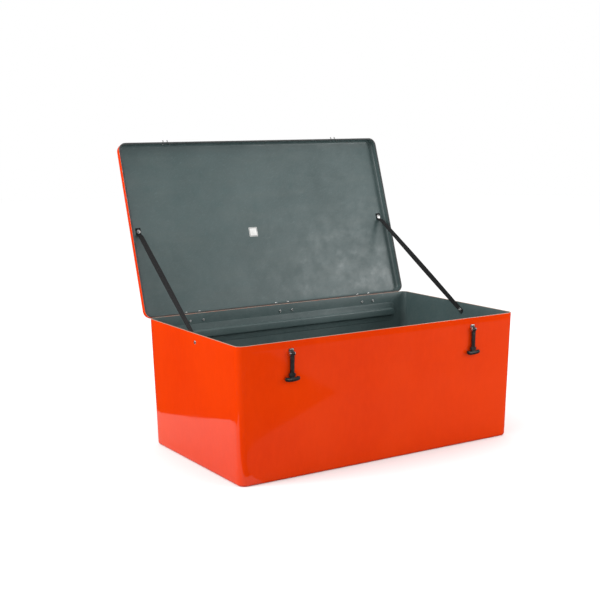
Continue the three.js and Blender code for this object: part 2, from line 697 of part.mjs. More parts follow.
/** A flat band from the box anchor to the lid anchor, twisting a quarter turn on the way. */
function strapBand(side) {
  const wallX = BOX_LENGTH / 2 - draftAt(STRAP_BOX_Z) - BOX_WALL;
  const startX = side * (wallX - 2 * FIT_GAP - STRAP_THICKNESS / 2);
  const start = new THREE.Vector3(startX, STRAP_BOX_Y, STRAP_BOX_Z);
  const lidX = side * (BOX_LENGTH / 2 - STRAP_LID_INSET);
  const lidY = HINGE_Y - STRAP_LID_ALONG;
  const faceZ = STRAP_LID_FACE_Z - FIT_GAP - STRAP_THICKNESS / 2;
  const screw = onOpenLid(lidX, lidY, faceZ);
  const tail = onOpenLid(lidX, lidY - STRAP_TAIL, faceZ);
  const lidFlat = tail.clone().sub(screw).normalize();
  const lidNormal = onOpenLid(lidX, lidY, faceZ - 1).sub(screw).normalize();
  const along = screw.clone().sub(start).normalize();
  const bendStart = screw.clone().addScaledVector(along, -2 * STRAP_TAIL);

  const stations = [];
  const addStation = (point, direction, turn, facing = new THREE.Vector3(1, 0, 0)) => {
    const wide = facing.clone().cross(direction).normalize();
    const flat = new THREE.Vector3().crossVectors(direction, wide).normalize();
    const across = wide.clone().multiplyScalar(Math.cos(turn)).addScaledVector(flat, Math.sin(turn));
    const through = new THREE.Vector3().crossVectors(direction, across).normalize();
    const corners = [[1, 1], [-1, 1], [-1, -1], [1, -1]];
    stations.push(corners.map(([a, b]) => point.clone()
      .addScaledVector(across, a * STRAP_WIDTH / 2)
      .addScaledVector(through, b * STRAP_THICKNESS / 2)));
  };
  const quarter = Math.PI / 2;
  // The first stretch lies flat on the end wall, which leans out with its draft.
  const wallFacing = new THREE.Vector3(Math.cos(DRAFT_ANGLE), 0, -side * Math.sin(DRAFT_ANGLE));
  const upWall = along.clone().setX(side * Math.tan(DRAFT_ANGLE) * along.z).normalize();
  const leaving = start.clone().addScaledVector(upWall, STRAP_TAIL);
  addStation(start.clone().addScaledVector(upWall, -STRAP_TAIL), upWall, 0, wallFacing);
  addStation(leaving, upWall, 0, wallFacing);
  for (let step = 1; step <= STRAP_STEPS; step += 1) {
    const share = step / STRAP_STEPS;
    const point = leaving.clone().lerp(bendStart, share);
    addStation(point, along, quarter * share);
  }
  const lift = screw.clone().addScaledVector(lidNormal, 1).addScaledVector(lidFlat, -STRAP_TAIL * 0.8);
  addStation(lift, along.clone().add(lidFlat).normalize(), quarter);
  addStation(screw.clone().addScaledVector(lidFlat, -STRAP_TAIL * 0.5), lidFlat, quarter);
  addStation(tail, lidFlat, quarter);
  return { stations, start };
}

function addCheckStrap(name, side) {
  const { stations, start } = strapBand(side);
  const wallX = BOX_LENGTH / 2 - draftAt(STRAP_BOX_Z) - BOX_WALL;
  const outsideX = BOX_LENGTH / 2 - draftAt(STRAP_BOX_Z);

  // Bolt through the end wall, its head outside, tilted with the wall's draft.
  const boltGroup = new THREE.Group();
  boltGroup.position.set(side * outsideX, STRAP_BOX_Y, STRAP_BOX_Z);
  boltGroup.rotation.y = side * DRAFT_ANGLE;
  chest.add(boltGroup);
  const grip = BOX_WALL + STRAP_THICKNESS + STAY_WASHER_THICKNESS + 5 * FIT_GAP;
  const inward = side * Math.PI / 2;
  const bolt = fastener(STAY_BOLT, grip).translate(0, -FIT_GAP, 0).rotateZ(inward);
  addPiece(boltGroup, `${name}_stay_bolt`, bolt, 'steel');

  const nutFace = -side * (BOX_WALL + STRAP_THICKNESS + 4 * FIT_GAP);
  const bore = STAY_BOLT.shank + FIT_GAP;
  const nutProfile = [
    [bore, 0],
    [STAY_WASHER_RADIUS, 0],
    [STAY_WASHER_RADIUS, STAY_WASHER_THICKNESS],
    [STAY_NUT_RADIUS, STAY_WASHER_THICKNESS],
    [STAY_NUT_RADIUS, STAY_WASHER_THICKNESS + STAY_NUT_HEIGHT],
    [bore, STAY_WASHER_THICKNESS + STAY_NUT_HEIGHT],
    [bore, 0],
  ];
  const points = nutProfile.map(([r, y]) => new THREE.Vector2(r, y));
  const nut = welded(new THREE.LatheGeometry(points, ROUND_STEPS)).rotateZ(inward);
  addPiece(boltGroup, `${name}_stay_nut`, nut.translate(nutFace, 0, 0), 'steel');
  const hole = barAlongX(bore, 6 * BOX_WALL, 0, 0, 0).rotateY(side * DRAFT_ANGLE);
  boxHoles.push(hole.translate(side * wallX, STRAP_BOX_Y, STRAP_BOX_Z));

  // Screw through the lid, its washered head inside on the strap.
  const lidX = side * (BOX_LENGTH / 2 - STRAP_LID_INSET);
  const lidY = HINGE_Y - STRAP_LID_ALONG;
  const headZ = STRAP_LID_FACE_Z - STRAP_THICKNESS - 2 * FIT_GAP;
  const screwGrip = LID_TOP_AT_STRAP_Z + FIT_GAP - headZ;
  const screw = fastener(STAY_SCREW, screwGrip).rotateX(Math.PI / 2).translate(lidX, lidY, headZ);
  addPiece(lid, `${name}_stay_screw`, screw, 'steel');
  const lidHole = barAlongY(STAY_SCREW.shank + FIT_GAP, 8 * LID_WALL, 0, 0, 0).rotateX(Math.PI / 2);
  lidHoles.push(lidHole.clone().translate(lidX, lidY, LID_UNDERSIDE_Z));

  // The band, with a clearance hole at each anchor.
  const boxCut = barAlongX(bore, 6 * BOX_WALL, start.x, start.y, start.z);
  lidHole.translate(lidX, lidY, LID_UNDERSIDE_Z).applyMatrix4(lid.matrixWorld);
  addPiece(chest, `${name}_check_strap`, shaped([lofted(stations)], [boxCut, lidHole]), 'webbing');
}

// ---------------------------------------------------------------- label

/** The blank label on the inside of the lid's crown. */
function insideLabel() {
  const half = LABEL_SIZE / 2;
  const y = HINGE_Y - LABEL_ALONG;
  const face = LID_UNDERSIDE_Z + LID_CROWN - FIT_GAP;
  return block([LABEL_X - half, y - half, face - LABEL_THICKNESS], [LABEL_X + half, y + half, face]);
}

// ---------------------------------------------------------------- assembly

for (const [name, x] of Object.entries(HINGE_CENTRES)) {
  addHinge(name, x);
}
for (const [name, x] of Object.entries(LATCH_CENTRES)) {
  addLatch(name, x);
}
addCheckStrap('left', -1);
addCheckStrap('right', 1);
backStiffener();
addPiece(chest, 'box_shell', boxShell(), 'gelcoat');
addPiece(lid, 'lid_shell', lidShell(), 'gelcoat');
addPiece(lid, 'lid_seal', lidSeal(), 'rubber');
addPiece(lid, 'inside_label', insideLabel(), 'label');

export default chest;
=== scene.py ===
"""Glass-fibre storage chest with a hinged lid, held open on two webbing check straps.

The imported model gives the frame, the bodies and the sizes. Each sub-assembly below is a class that
models its pieces on that frame, dresses them in their finishes and hangs them on their bodies.
Lengths are in metres. X runs along the chest, Y to the hinges at the back and Z up.
"""

import json
import logging
import math
from collections.abc import Callable, Sequence
from dataclasses import dataclass, field
from enum import Enum

import bpy
from mathutils import Matrix, Vector


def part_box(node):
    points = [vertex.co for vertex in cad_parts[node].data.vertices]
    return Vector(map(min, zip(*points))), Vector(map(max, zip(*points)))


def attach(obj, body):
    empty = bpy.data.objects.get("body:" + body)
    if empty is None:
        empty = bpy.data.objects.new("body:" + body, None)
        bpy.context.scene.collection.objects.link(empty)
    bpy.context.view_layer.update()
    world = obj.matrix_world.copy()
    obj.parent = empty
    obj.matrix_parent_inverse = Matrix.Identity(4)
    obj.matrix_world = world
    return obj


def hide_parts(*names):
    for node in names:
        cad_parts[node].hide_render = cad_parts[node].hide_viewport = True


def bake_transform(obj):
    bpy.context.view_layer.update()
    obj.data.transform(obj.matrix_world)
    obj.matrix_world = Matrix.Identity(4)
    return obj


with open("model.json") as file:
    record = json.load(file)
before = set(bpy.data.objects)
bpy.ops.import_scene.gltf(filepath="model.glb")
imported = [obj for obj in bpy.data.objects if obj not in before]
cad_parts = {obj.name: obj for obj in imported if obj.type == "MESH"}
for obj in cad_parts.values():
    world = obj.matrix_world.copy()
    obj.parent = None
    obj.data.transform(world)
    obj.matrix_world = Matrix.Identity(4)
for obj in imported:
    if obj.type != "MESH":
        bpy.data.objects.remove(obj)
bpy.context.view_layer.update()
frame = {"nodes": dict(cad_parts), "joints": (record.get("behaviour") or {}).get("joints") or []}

logging.basicConfig(level=logging.INFO, format="%(message)s")
log = logging.getLogger("chest")

Piece = bpy.types.Object
Material = bpy.types.Material
Point = tuple[float, float, float]
Colour = tuple[float, float, float]

MM = 0.001
GAP = 0.3 * MM
TOUCH = 0.01 * MM
QUARTER = math.pi / 2


# ---------------------------------------------------------------- named choices


class Element(Enum):
    """What an edit-mode choice is made of."""

    EDGE = "EDGE"
    FACE = "FACE"


class Axis(Enum):
    """The axis that a bar lies along or a slice is taken across."""

    X = 0
    Y = 1
    Z = 2


class Body(Enum):
    """The moving bodies of the chest."""

    BOX = "box"
    LID = "lid"
    LEFT_LATCH = "left_latch"
    RIGHT_LATCH = "right_latch"


class Slot(Enum):
    """The finishes that the record names."""

    BOX_MOULDING = "box_moulding"
    LID_MOULDING = "lid_moulding"
    FLOW_COAT = "flow_coat"
    SEAL_RUBBER = "seal_rubber"
    LATCH_RUBBER = "latch_rubber"
    STAINLESS_STEEL = "stainless_steel"
    WEBBING = "webbing"
    LABEL_FILM = "label_film"


class Side(Enum):
    """An end of the chest, with its direction along X."""

    LEFT = -1
    RIGHT = 1

    @property
    def word(self) -> str:
        """The name of the end in lower case."""
        return self.name.lower()


# ---------------------------------------------------------------- the frame's places


def joint(name: str) -> dict:
    """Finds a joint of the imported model.

    Args:
        name: The joint's name in the record.

    Returns:
        The joint's row.
    """
    return next(row for row in frame["joints"] if row["name"] == name)


LID_HINGE = joint("lid_hinge")
HINGE_PIN = Vector(LID_HINGE["pos_m"])
LID_TURN = Matrix.Rotation(-math.radians(LID_HINGE["range_deg"][1]), 4, Vector(LID_HINGE["axis"]))
OPEN_LID = Matrix.Translation(HINGE_PIN) @ LID_TURN @ Matrix.Translation(-HINGE_PIN)
SHUT_LID = OPEN_LID.inverted()


def shut_box(node: str) -> tuple[Vector, Vector]:
    """Measures a node of the lid as it lies with the lid shut.

    Args:
        node: The node's name.

    Returns:
        Its lowest and highest corners with the lid shut.
    """
    points = [SHUT_LID @ vertex.co for vertex in frame["nodes"][node].data.vertices]
    low = Vector(min(point[axis] for point in points) for axis in range(3))
    high = Vector(max(point[axis] for point in points) for axis in range(3))
    return low, high


def middle(corners: tuple[Vector, Vector]) -> Vector:
    """The point halfway between two corners."""
    return (corners[0] + corners[1]) / 2


BOX_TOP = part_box("box_shell")[1]
LID_LOW, LID_HIGH = shut_box("lid_shell")
BOX_DRAFT = 12 * MM
DRAFT_ANGLE = math.atan(BOX_DRAFT / BOX_TOP.z)


def drawn_in(height: float) -> float:
    """How far the outside of the box has drawn in from its rim at a height."""
    return BOX_DRAFT * (1 - height / BOX_TOP.z)


# ---------------------------------------------------------------- the bench


def let_go() -> None:
    """Leaves edit mode and deselects every object."""
    active = bpy.context.view_layer.objects.active
    if active is not None and active.mode != "OBJECT":
        bpy.ops.object.mode_set(mode="OBJECT")
    bpy.ops.object.select_all(action="DESELECT")


def hold(piece: Piece, *others: Piece) -> None:
    """Selects pieces and makes the first of them active.

    Args:
        piece: The piece to work on.
        others: Pieces selected with it.
    """
    let_go()
    for each in (piece, *others):
        each.select_set(True)
    bpy.context.view_layer.objects.active = piece


def pick(piece: Piece, element: Element, test: Callable[..., bool]) -> None:
    """Opens a piece in edit mode with only the faces or edges chosen by their place.

    Args:
        piece: The piece to open.
        element: Faces or edges.
        test: Takes a face's centre and normal, or an edge's two ends, and says whether it is chosen.
    """
    hold(piece)
    bpy.ops.object.mode_set(mode="EDIT")
    bpy.ops.mesh.select_mode(type=element.value)
    bpy.ops.mesh.select_all(action="DESELECT")
    bpy.ops.object.mode_set(mode="OBJECT")
    mesh = piece.data
    if element is Element.FACE:
        for face in mesh.polygons:
            face.select = test(face.center, face.normal)
    else:
        points = mesh.vertices
        for edge in mesh.edges:
            edge.select = test(*(points[end].co for end in edge.vertices))
    bpy.ops.object.mode_set(mode="EDIT")


def added(name: str) -> Piece:
    """Names the primitive that has just been added and puts its place in its mesh.

    Args:
        name: The piece's name.

    Returns:
        The new piece.
    """
    piece = bpy.context.object
    piece.name = name
    piece.data.name = name
    bpy.ops.object.transform_apply(location=True, rotation=True, scale=True)
    return piece


def block(name: str, low: Sequence[float], high: Sequence[float]) -> Piece:
    """Adds a block between two corners.

    Args:
        name: The piece's name.
        low: Its lowest corner.
        high: Its highest corner.

    Returns:
        The block.
    """
    let_go()
    size = Vector(high) - Vector(low)
    centre = (Vector(high) + Vector(low)) / 2
    bpy.ops.mesh.primitive_cube_add(size=1, location=centre, scale=size)
    return added(name)


def bar(
    name: str, radius: float, length: float, axis: Axis, centre: Point = (0, 0, 0), sides: int = 32
) -> Piece:
    """Adds a round bar, or a prism where it has few sides.

    Args:
        name: The piece's name.
        radius: Its radius.
        length: Its length.
        axis: The axis it lies along.
        centre: Its middle.
        sides: The sides of its section.

    Returns:
        The bar.
    """
    let_go()
    turn = {Axis.X: (0, QUARTER, 0), Axis.Y: (QUARTER, 0, 0), Axis.Z: (0, 0, 0)}[axis]
    bpy.ops.mesh.primitive_cylinder_add(
        vertices=sides, radius=radius, depth=length, location=centre, rotation=turn
    )
    return added(name)


def turning(name: str, profile: Sequence[tuple[float, float]], sides: int = 32) -> Piece:
    """Turns a solid about Z from its profile, as on a lathe.

    Args:
        name: The piece's name.
        profile: Radius and height of each step, from the lowest up.
        sides: The sides of its section.

    Returns:
        The turned solid.
    """
    let_go()
    (first, low), (second, high) = profile[:2]
    bpy.ops.mesh.primitive_cone_add(
        vertices=sides, radius1=first, radius2=second, depth=high - low, location=(0, 0, (low + high) / 2)
    )
    piece = added(name)
    pick(piece, Element.FACE, lambda centre, normal: normal.z > 0.99 and centre.z > high - TOUCH)
    radius, height = second, high
    for next_radius, next_height in profile[2:]:
        rise = {"value": (0, 0, next_height - height)}
        bpy.ops.mesh.extrude_region_move(TRANSFORM_OT_translate=rise)
        share = next_radius / radius
        bpy.ops.transform.resize(value=(share, share, 1))
        radius, height = next_radius, next_height
    let_go()
    return piece


def slice_across(piece: Piece, axis: Axis, places: Sequence[float]) -> None:
    """Cuts a piece's faces along planes, leaving it whole.

    Args:
        piece: The piece to slice.
        axis: The axis that the planes stand across.
        places: Where each plane stands on the axis.
    """
    hold(piece)
    bpy.ops.object.mode_set(mode="EDIT")
    normal = [float(number == axis.value) for number in range(3)]
    for place in places:
        bpy.ops.mesh.select_all(action="SELECT")
        bpy.ops.mesh.bisect(plane_co=[place * share for share in normal], plane_no=normal)
    let_go()


def round_edges(piece: Piece, test: Callable[..., bool], radius: float, steps: int = 5) -> None:
    """Rounds chosen edges of a piece.

    Args:
        piece: The piece.
        test: Says which edges are rounded, from their two ends.
        radius: The radius.
        steps: The facets round the curve.
    """
    pick(piece, Element.EDGE, test)
    bpy.ops.mesh.bevel(offset=radius, offset_type="OFFSET", segments=steps, profile=0.5, affect="EDGES")
    let_go()


def modify(piece: Piece, kind: str, **settings: object) -> None:
    """Adds a modifier to a piece and applies it.

    Args:
        piece: The piece.
        kind: The modifier's type.
        settings: Its settings.
    """
    hold(piece)
    modifier = piece.modifiers.new(kind.lower(), kind)
    for key, value in settings.items():
        setattr(modifier, key, value)
    bpy.ops.object.modifier_apply(modifier=modifier.name)


def soften(piece: Piece, width: float, steps: int = 2, sharper_than: float = 40) -> None:
    """Takes the sharpness off every edge that is sharper than an angle in degrees.

    Args:
        piece: The piece.
        width: The width of the softened edge.
        steps: The facets across it.
        sharper_than: The angle in degrees.
    """
    limit = math.radians(sharper_than)
    modify(piece, "BEVEL", width=width, segments=steps, limit_method="ANGLE", angle_limit=limit,
           harden_normals=False)


def cut(piece: Piece, tool: Piece) -> None:
    """Cuts a tool's shape out of a piece and puts the tool away."""
    modify(piece, "BOOLEAN", object=tool, operation="DIFFERENCE", solver="EXACT")
    bpy.data.objects.remove(tool)


def fuse(piece: Piece, *others: Piece) -> None:
    """Welds other pieces to a piece, with no faces left inside."""
    for other in others:
        modify(piece, "BOOLEAN", object=other, operation="UNION", solver="EXACT")
        bpy.data.objects.remove(other)


def gather(piece: Piece, *others: Piece) -> None:
    """Joins separate solids into one piece."""
    hold(piece, *others)
    bpy.ops.object.join()


def fair(piece: Piece, angle: float = 38) -> None:
    """Merges doubles, turns faces outwards and smooths the shading below an angle.

    Args:
        piece: The piece.
        angle: The angle in degrees above which an edge stays crisp.
    """
    hold(piece)
    bpy.ops.object.mode_set(mode="EDIT")
    bpy.ops.mesh.select_all(action="SELECT")
    bpy.ops.mesh.remove_doubles(threshold=TOUCH)
    bpy.ops.mesh.normals_make_consistent(inside=False)
    bpy.ops.object.mode_set(mode="OBJECT")
    bpy.ops.object.shade_smooth_by_angle(angle=math.radians(angle))
    let_go()


def settle(piece: Piece, place: Matrix) -> None:
    """Moves a piece to its place and puts that place in its mesh."""
    hold(piece)
    piece.matrix_world = place
    bpy.ops.object.transform_apply(location=True, rotation=True, scale=True)
    let_go()


def stamp(pattern: Piece, name: str, place: Matrix) -> Piece:
    """Copies a pattern with its own mesh and sets the copy in place.

    Args:
        pattern: The piece to copy.
        name: The copy's name.
        place: Where the copy goes.

    Returns:
        The copy.
    """
    hold(pattern)
    bpy.ops.object.duplicate(linked=False)
    copy = bpy.context.object
    copy.name = name
    copy.data.name = name
    settle(copy, place)
    return copy


def scrap(*patterns: Piece) -> None:
    """Puts patterns away once their copies are made."""
    for pattern in patterns:
        bpy.data.objects.remove(pattern)


def dress(piece: Piece, *finishes: Material) -> None:
    """Gives a piece its finishes in the order of its slots."""
    piece.data.materials.clear()
    for finish in finishes:
        piece.data.materials.append(finish)


def finished(piece: Piece, angle: float, *finishes: Material) -> Piece:
    """Fairs a piece, dresses it and gives it back."""
    fair(piece, angle)
    dress(piece, *finishes)
    return piece


def hang(piece: Piece, body: Body, slot: Slot, *nodes: str) -> None:
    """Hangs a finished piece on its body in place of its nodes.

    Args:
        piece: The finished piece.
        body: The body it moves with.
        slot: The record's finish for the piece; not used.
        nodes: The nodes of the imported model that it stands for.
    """
    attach(piece, body.value)
    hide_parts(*nodes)
    log.info("%s: %d faces on %s", piece.name, len(piece.data.polygons), body.value)


# ---------------------------------------------------------------- finishes


class Recipe:
    """A material's node tree under its Principled shader."""

    def __init__(self, name: str) -> None:
        """Starts a material with its shader and its Object coordinates.

        Args:
            name: The material's name.
        """
        self.material = bpy.data.materials.new(name)
        self.material.use_nodes = True
        self.tree = self.material.node_tree
        self.shader = self.tree.nodes["Principled BSDF"]
        self.place = self.tree.nodes.new("ShaderNodeTexCoord").outputs["Object"]

    def setting(self, **values: object) -> None:
        """Sets sockets of the shader by their names, with underscores for spaces."""
        for key, value in values.items():
            self.shader.inputs[key.replace("_", " ")].default_value = value

    def node(self, kind: str, inputs: dict | None = None, **settings: object) -> bpy.types.Node:
        """Adds a node.

        Args:
            kind: The node's type after ShaderNode.
            inputs: Values or sockets for its inputs.
            settings: Its own settings.

        Returns:
            The node.
        """
        made = self.tree.nodes.new("ShaderNode" + kind)
        for key, value in settings.items():
            setattr(made, key, value)
        for key, value in (inputs or {}).items():
            if isinstance(value, bpy.types.NodeSocket):
                self.tree.links.new(value, made.inputs[key])
            else:
                made.inputs[key].default_value = value
        return made

    def stretched(self, scale: Point, turn: Point = (0, 0, 0)) -> bpy.types.NodeSocket:
        """Object coordinates turned and then stretched along each axis."""
        return self.node(
            "Mapping", {"Vector": self.place, "Scale": scale, "Rotation": turn}, vector_type="TEXTURE"
        ).outputs["Vector"]

    def noise(
        self, scale: float, detail: float = 2, rough: float = 0.5, at: bpy.types.NodeSocket | None = None
    ) -> bpy.types.NodeSocket:
        """Noise from 0 to 1.

        Args:
            scale: Its scale, in patches per metre.
            detail: Its octaves.
            rough: How strong the fine octaves are.
            at: Coordinates other than the object's own.

        Returns:
            The noise's factor.
        """
        where = self.place if at is None else at
        inputs = {"Vector": where, "Scale": scale, "Detail": detail, "Roughness": rough}
        return self.node("TexNoise", inputs).outputs["Fac"]

    def ramp(self, factor: bpy.types.NodeSocket, low: float, high: float, start: float, end: float
             ) -> bpy.types.NodeSocket:
        """Maps a factor's range to another range, held at its ends.

        Args:
            factor: The factor.
            low: The factor's lower bound.
            high: The factor's upper bound.
            start: The result at the lower bound.
            end: The result at the upper bound.

        Returns:
            The mapped value.
        """
        inputs = {"Value": factor, "From Min": low, "From Max": high, "To Min": start, "To Max": end}
        return self.node("MapRange", inputs).outputs["Result"]

    def shades(self, factor: bpy.types.NodeSocket, *stops: tuple[float, Colour]) -> bpy.types.NodeSocket:
        """Colours along a factor.

        Args:
            factor: The factor from 0 to 1.
            stops: Each stop's place and linear colour.

        Returns:
            The colour.
        """
        made = self.node("ValToRGB", {"Fac": factor})
        elements = made.color_ramp.elements
        while len(elements) < len(stops):
            elements.new(0.5)
        for element, (place, colour) in zip(elements, stops):
            element.position = place
            element.color = (*colour, 1)
        return made.outputs["Color"]

    def mixed(self, factor: object, first: object, second: object, blend: str = "MIX"
              ) -> bpy.types.NodeSocket:
        """Mixes two colours.

        Args:
            factor: How much of the second.
            first: The first colour or its socket.
            second: The second colour or its socket.
            blend: The blend's name.

        Returns:
            The mixed colour.
        """
        made = self.node("Mix", data_type="RGBA", blend_type=blend)
        for number, value in ((0, factor), (6, first), (7, second)):
            if isinstance(value, bpy.types.NodeSocket):
                self.tree.links.new(value, made.inputs[number])
            else:
                made.inputs[number].default_value = value
        return made.outputs[2]

    def total(self, first: object, second: object, how: str = "ADD") -> bpy.types.NodeSocket:
        """Joins two values by arithmetic.

        Args:
            first: A value or socket.
            second: A value or socket.
            how: The operation's name.

        Returns:
            The result.
        """
        return self.node("Math", {0: first, 1: second}, operation=how).outputs["Value"]

    def bumps(self, *layers: tuple[bpy.types.NodeSocket, float]) -> None:
        """Chains bump layers into the shader.

        Args:
            layers: Each layer's height and its depth in metres.
        """
        normal = None
        for height, depth in layers:
            inputs = {"Height": height, "Distance": depth, "Strength": 1.0}
            if normal is not None:
                inputs["Normal"] = normal
            normal = self.node("Bump", inputs).outputs["Normal"]
        self.tree.links.new(normal, self.shader.inputs["Normal"])

    def drive(self, **sockets: bpy.types.NodeSocket) -> Material:
        """Links sockets to the shader by name and gives the finished material."""
        for key, socket in sockets.items():
            self.tree.links.new(socket, self.shader.inputs[key.replace("_", " ")])
        return self.material


@dataclass(frozen=True)
class GelCoat:
    """Glossy moulded gel coat, with the faint fibre pattern and orange peel of a hand-laid moulding."""

    name: str = "orange_gelcoat"
    tone: Colour = (0.575, 0.0345, 0.0009)
    deep_tone: Colour = (0.530, 0.0275, 0.0006)
    gloss: float = 0.24

    def mix(self) -> Material:
        """Makes the material."""
        recipe = Recipe(self.name)
        recipe.setting(IOR=1.5, Specular_IOR_Level=0.0, Coat_Weight=0.92, Coat_IOR=1.5)
        cloud = recipe.noise(2.6, 3)
        fibre = recipe.noise(55, 4, 0.65, recipe.stretched((1, 1, 2.4), (0, 0, 0.4)))
        base = recipe.shades(cloud, (0.32, self.deep_tone), (0.66, self.tone))
        paler = tuple(share * 1.10 for share in self.tone)
        colour = recipe.mixed(recipe.ramp(fibre, 0.42, 0.72, 0, 0.3), base, (*paler, 1))
        polish = recipe.ramp(recipe.noise(9, 3, 0.55), 0.35, 0.70, 0.035, 0.085)
        rough = recipe.ramp(recipe.noise(34, 4, 0.6), 0.3, 0.75, self.gloss - 0.03, self.gloss + 0.09)
        recipe.bumps(
            (recipe.noise(7, 1), 1.2 * MM),
            (fibre, 0.05 * MM),
            (recipe.noise(420, 2), 0.016 * MM),
        )
        return recipe.drive(Base_Color=colour, Roughness=rough, Coat_Roughness=polish)


@dataclass(frozen=True)
class FlowCoat:
    """Brushed grey-green flow coat over chopped-strand mat, whose fibres print through it."""

    name: str = "grey_flow_coat"
    dark: Colour = (0.047, 0.076, 0.076)
    light: Colour = (0.070, 0.103, 0.103)
    gloss: float = 0.36
    fibre_turns: tuple[float, ...] = (0.2, 1.3, 2.3)

    def strands(self, recipe: Recipe) -> bpy.types.NodeSocket:
        """The pattern of short strands lying in every direction."""
        total = None
        for turn in self.fibre_turns:
            stretched = recipe.stretched((9, 1, 9), (turn * 0.7, turn * 0.4, turn))
            strand = recipe.noise(520, 2, 0.5, stretched)
            total = strand if total is None else recipe.total(total, strand, "MAXIMUM")
        return total

    def mix(self) -> Material:
        """Makes the material."""
        recipe = Recipe(self.name)
        recipe.setting(IOR=1.48, Coat_Weight=0.10, Coat_Roughness=0.22)
        cloud = recipe.noise(3.2, 4, 0.58)
        brushed = recipe.noise(26, 3, 0.6, recipe.stretched((5, 1, 1)))
        strands = self.strands(recipe)
        base = recipe.shades(cloud, (0.30, self.dark), (0.70, self.light))
        warm = (self.light[0] * 1.08, self.light[1] * 0.99, self.light[2] * 0.95, 1)
        base = recipe.mixed(recipe.ramp(brushed, 0.45, 0.75, 0, 0.45), base, warm)
        pale = tuple(share * 1.45 for share in self.light)
        colour = recipe.mixed(recipe.ramp(strands, 0.60, 0.78, 0, 0.40), base, (*pale, 1))
        rough = recipe.ramp(recipe.noise(18, 4, 0.6), 0.3, 0.7, self.gloss - 0.08, self.gloss + 0.16)
        recipe.bumps(
            (recipe.noise(11, 2), 2.0 * MM),
            (brushed, 0.10 * MM),
            (strands, 0.22 * MM),
            (recipe.noise(900, 2), 0.02 * MM),
        )
        return recipe.drive(Base_Color=colour, Roughness=rough)


@dataclass(frozen=True)
class TrimmedEdge:
    """The rim where the laminate was trimmed and sealed: pale resin, streaked with glass."""

    name: str = "trimmed_laminate_edge"
    resin: Colour = (0.46, 0.20, 0.12)
    glass: Colour = (0.30, 0.27, 0.22)

    def mix(self) -> Material:
        """Makes the material."""
        recipe = Recipe(self.name)
        recipe.setting(IOR=1.5)
        streak = recipe.noise(160, 4, 0.7, recipe.stretched((4, 4, 0.6)))
        colour = recipe.shades(streak, (0.36, self.glass), (0.62, self.resin))
        rough = recipe.ramp(streak, 0.3, 0.7, 0.32, 0.62)
        recipe.bumps((streak, 0.15 * MM), (recipe.noise(1400, 2), 0.04 * MM))
        return recipe.drive(Base_Color=colour, Roughness=rough)


@dataclass(frozen=True)
class Stainless:
    """Stainless steel sheet or bar, with fine drawing lines, handling marks and dulled patches."""

    name: str = "stainless_steel"
    bright: Colour = (0.66, 0.66, 0.65)
    dull: Colour = (0.40, 0.40, 0.40)
    gloss: float = 0.24

    def mix(self) -> Material:
        """Makes the material."""
        recipe = Recipe(self.name)
        recipe.setting(Metallic=1.0)
        drawn = recipe.noise(1500, 3, 0.6, recipe.stretched((30, 1, 1)))
        patch = recipe.noise(140, 4, 0.6)
        colour = recipe.shades(patch, (0.30, self.dull), (0.62, self.bright))
        worn = recipe.ramp(patch, 0.3, 0.7, self.gloss + 0.16, self.gloss - 0.04)
        rough = recipe.total(worn, recipe.ramp(drawn, 0.3, 0.7, -0.04, 0.08))
        recipe.bumps((drawn, 0.02 * MM), (recipe.noise(600, 3), 0.03 * MM))
        return recipe.drive(Base_Color=colour, Roughness=rough)


@dataclass(frozen=True)
class Rubber:
    """Black moulded rubber, with a fine pebble and a grey bloom."""

    name: str = "black_rubber"
    tone: Colour = (0.0060, 0.0060, 0.0064)
    bloom: Colour = (0.0150, 0.0153, 0.0156)
    gloss: float = 0.42
    pebble: float = 1500

    def mix(self) -> Material:
        """Makes the material."""
        recipe = Recipe(self.name)
        recipe.setting(IOR=1.52)
        cloud = recipe.noise(90, 4, 0.62)
        colour = recipe.shades(cloud, (0.38, self.tone), (0.72, self.bloom))
        rough = recipe.ramp(cloud, 0.3, 0.7, self.gloss - 0.06, self.gloss + 0.20)
        recipe.bumps((recipe.noise(self.pebble, 2), 0.05 * MM), (recipe.noise(220, 2), 0.10 * MM))
        return recipe.drive(Base_Color=colour, Roughness=rough)


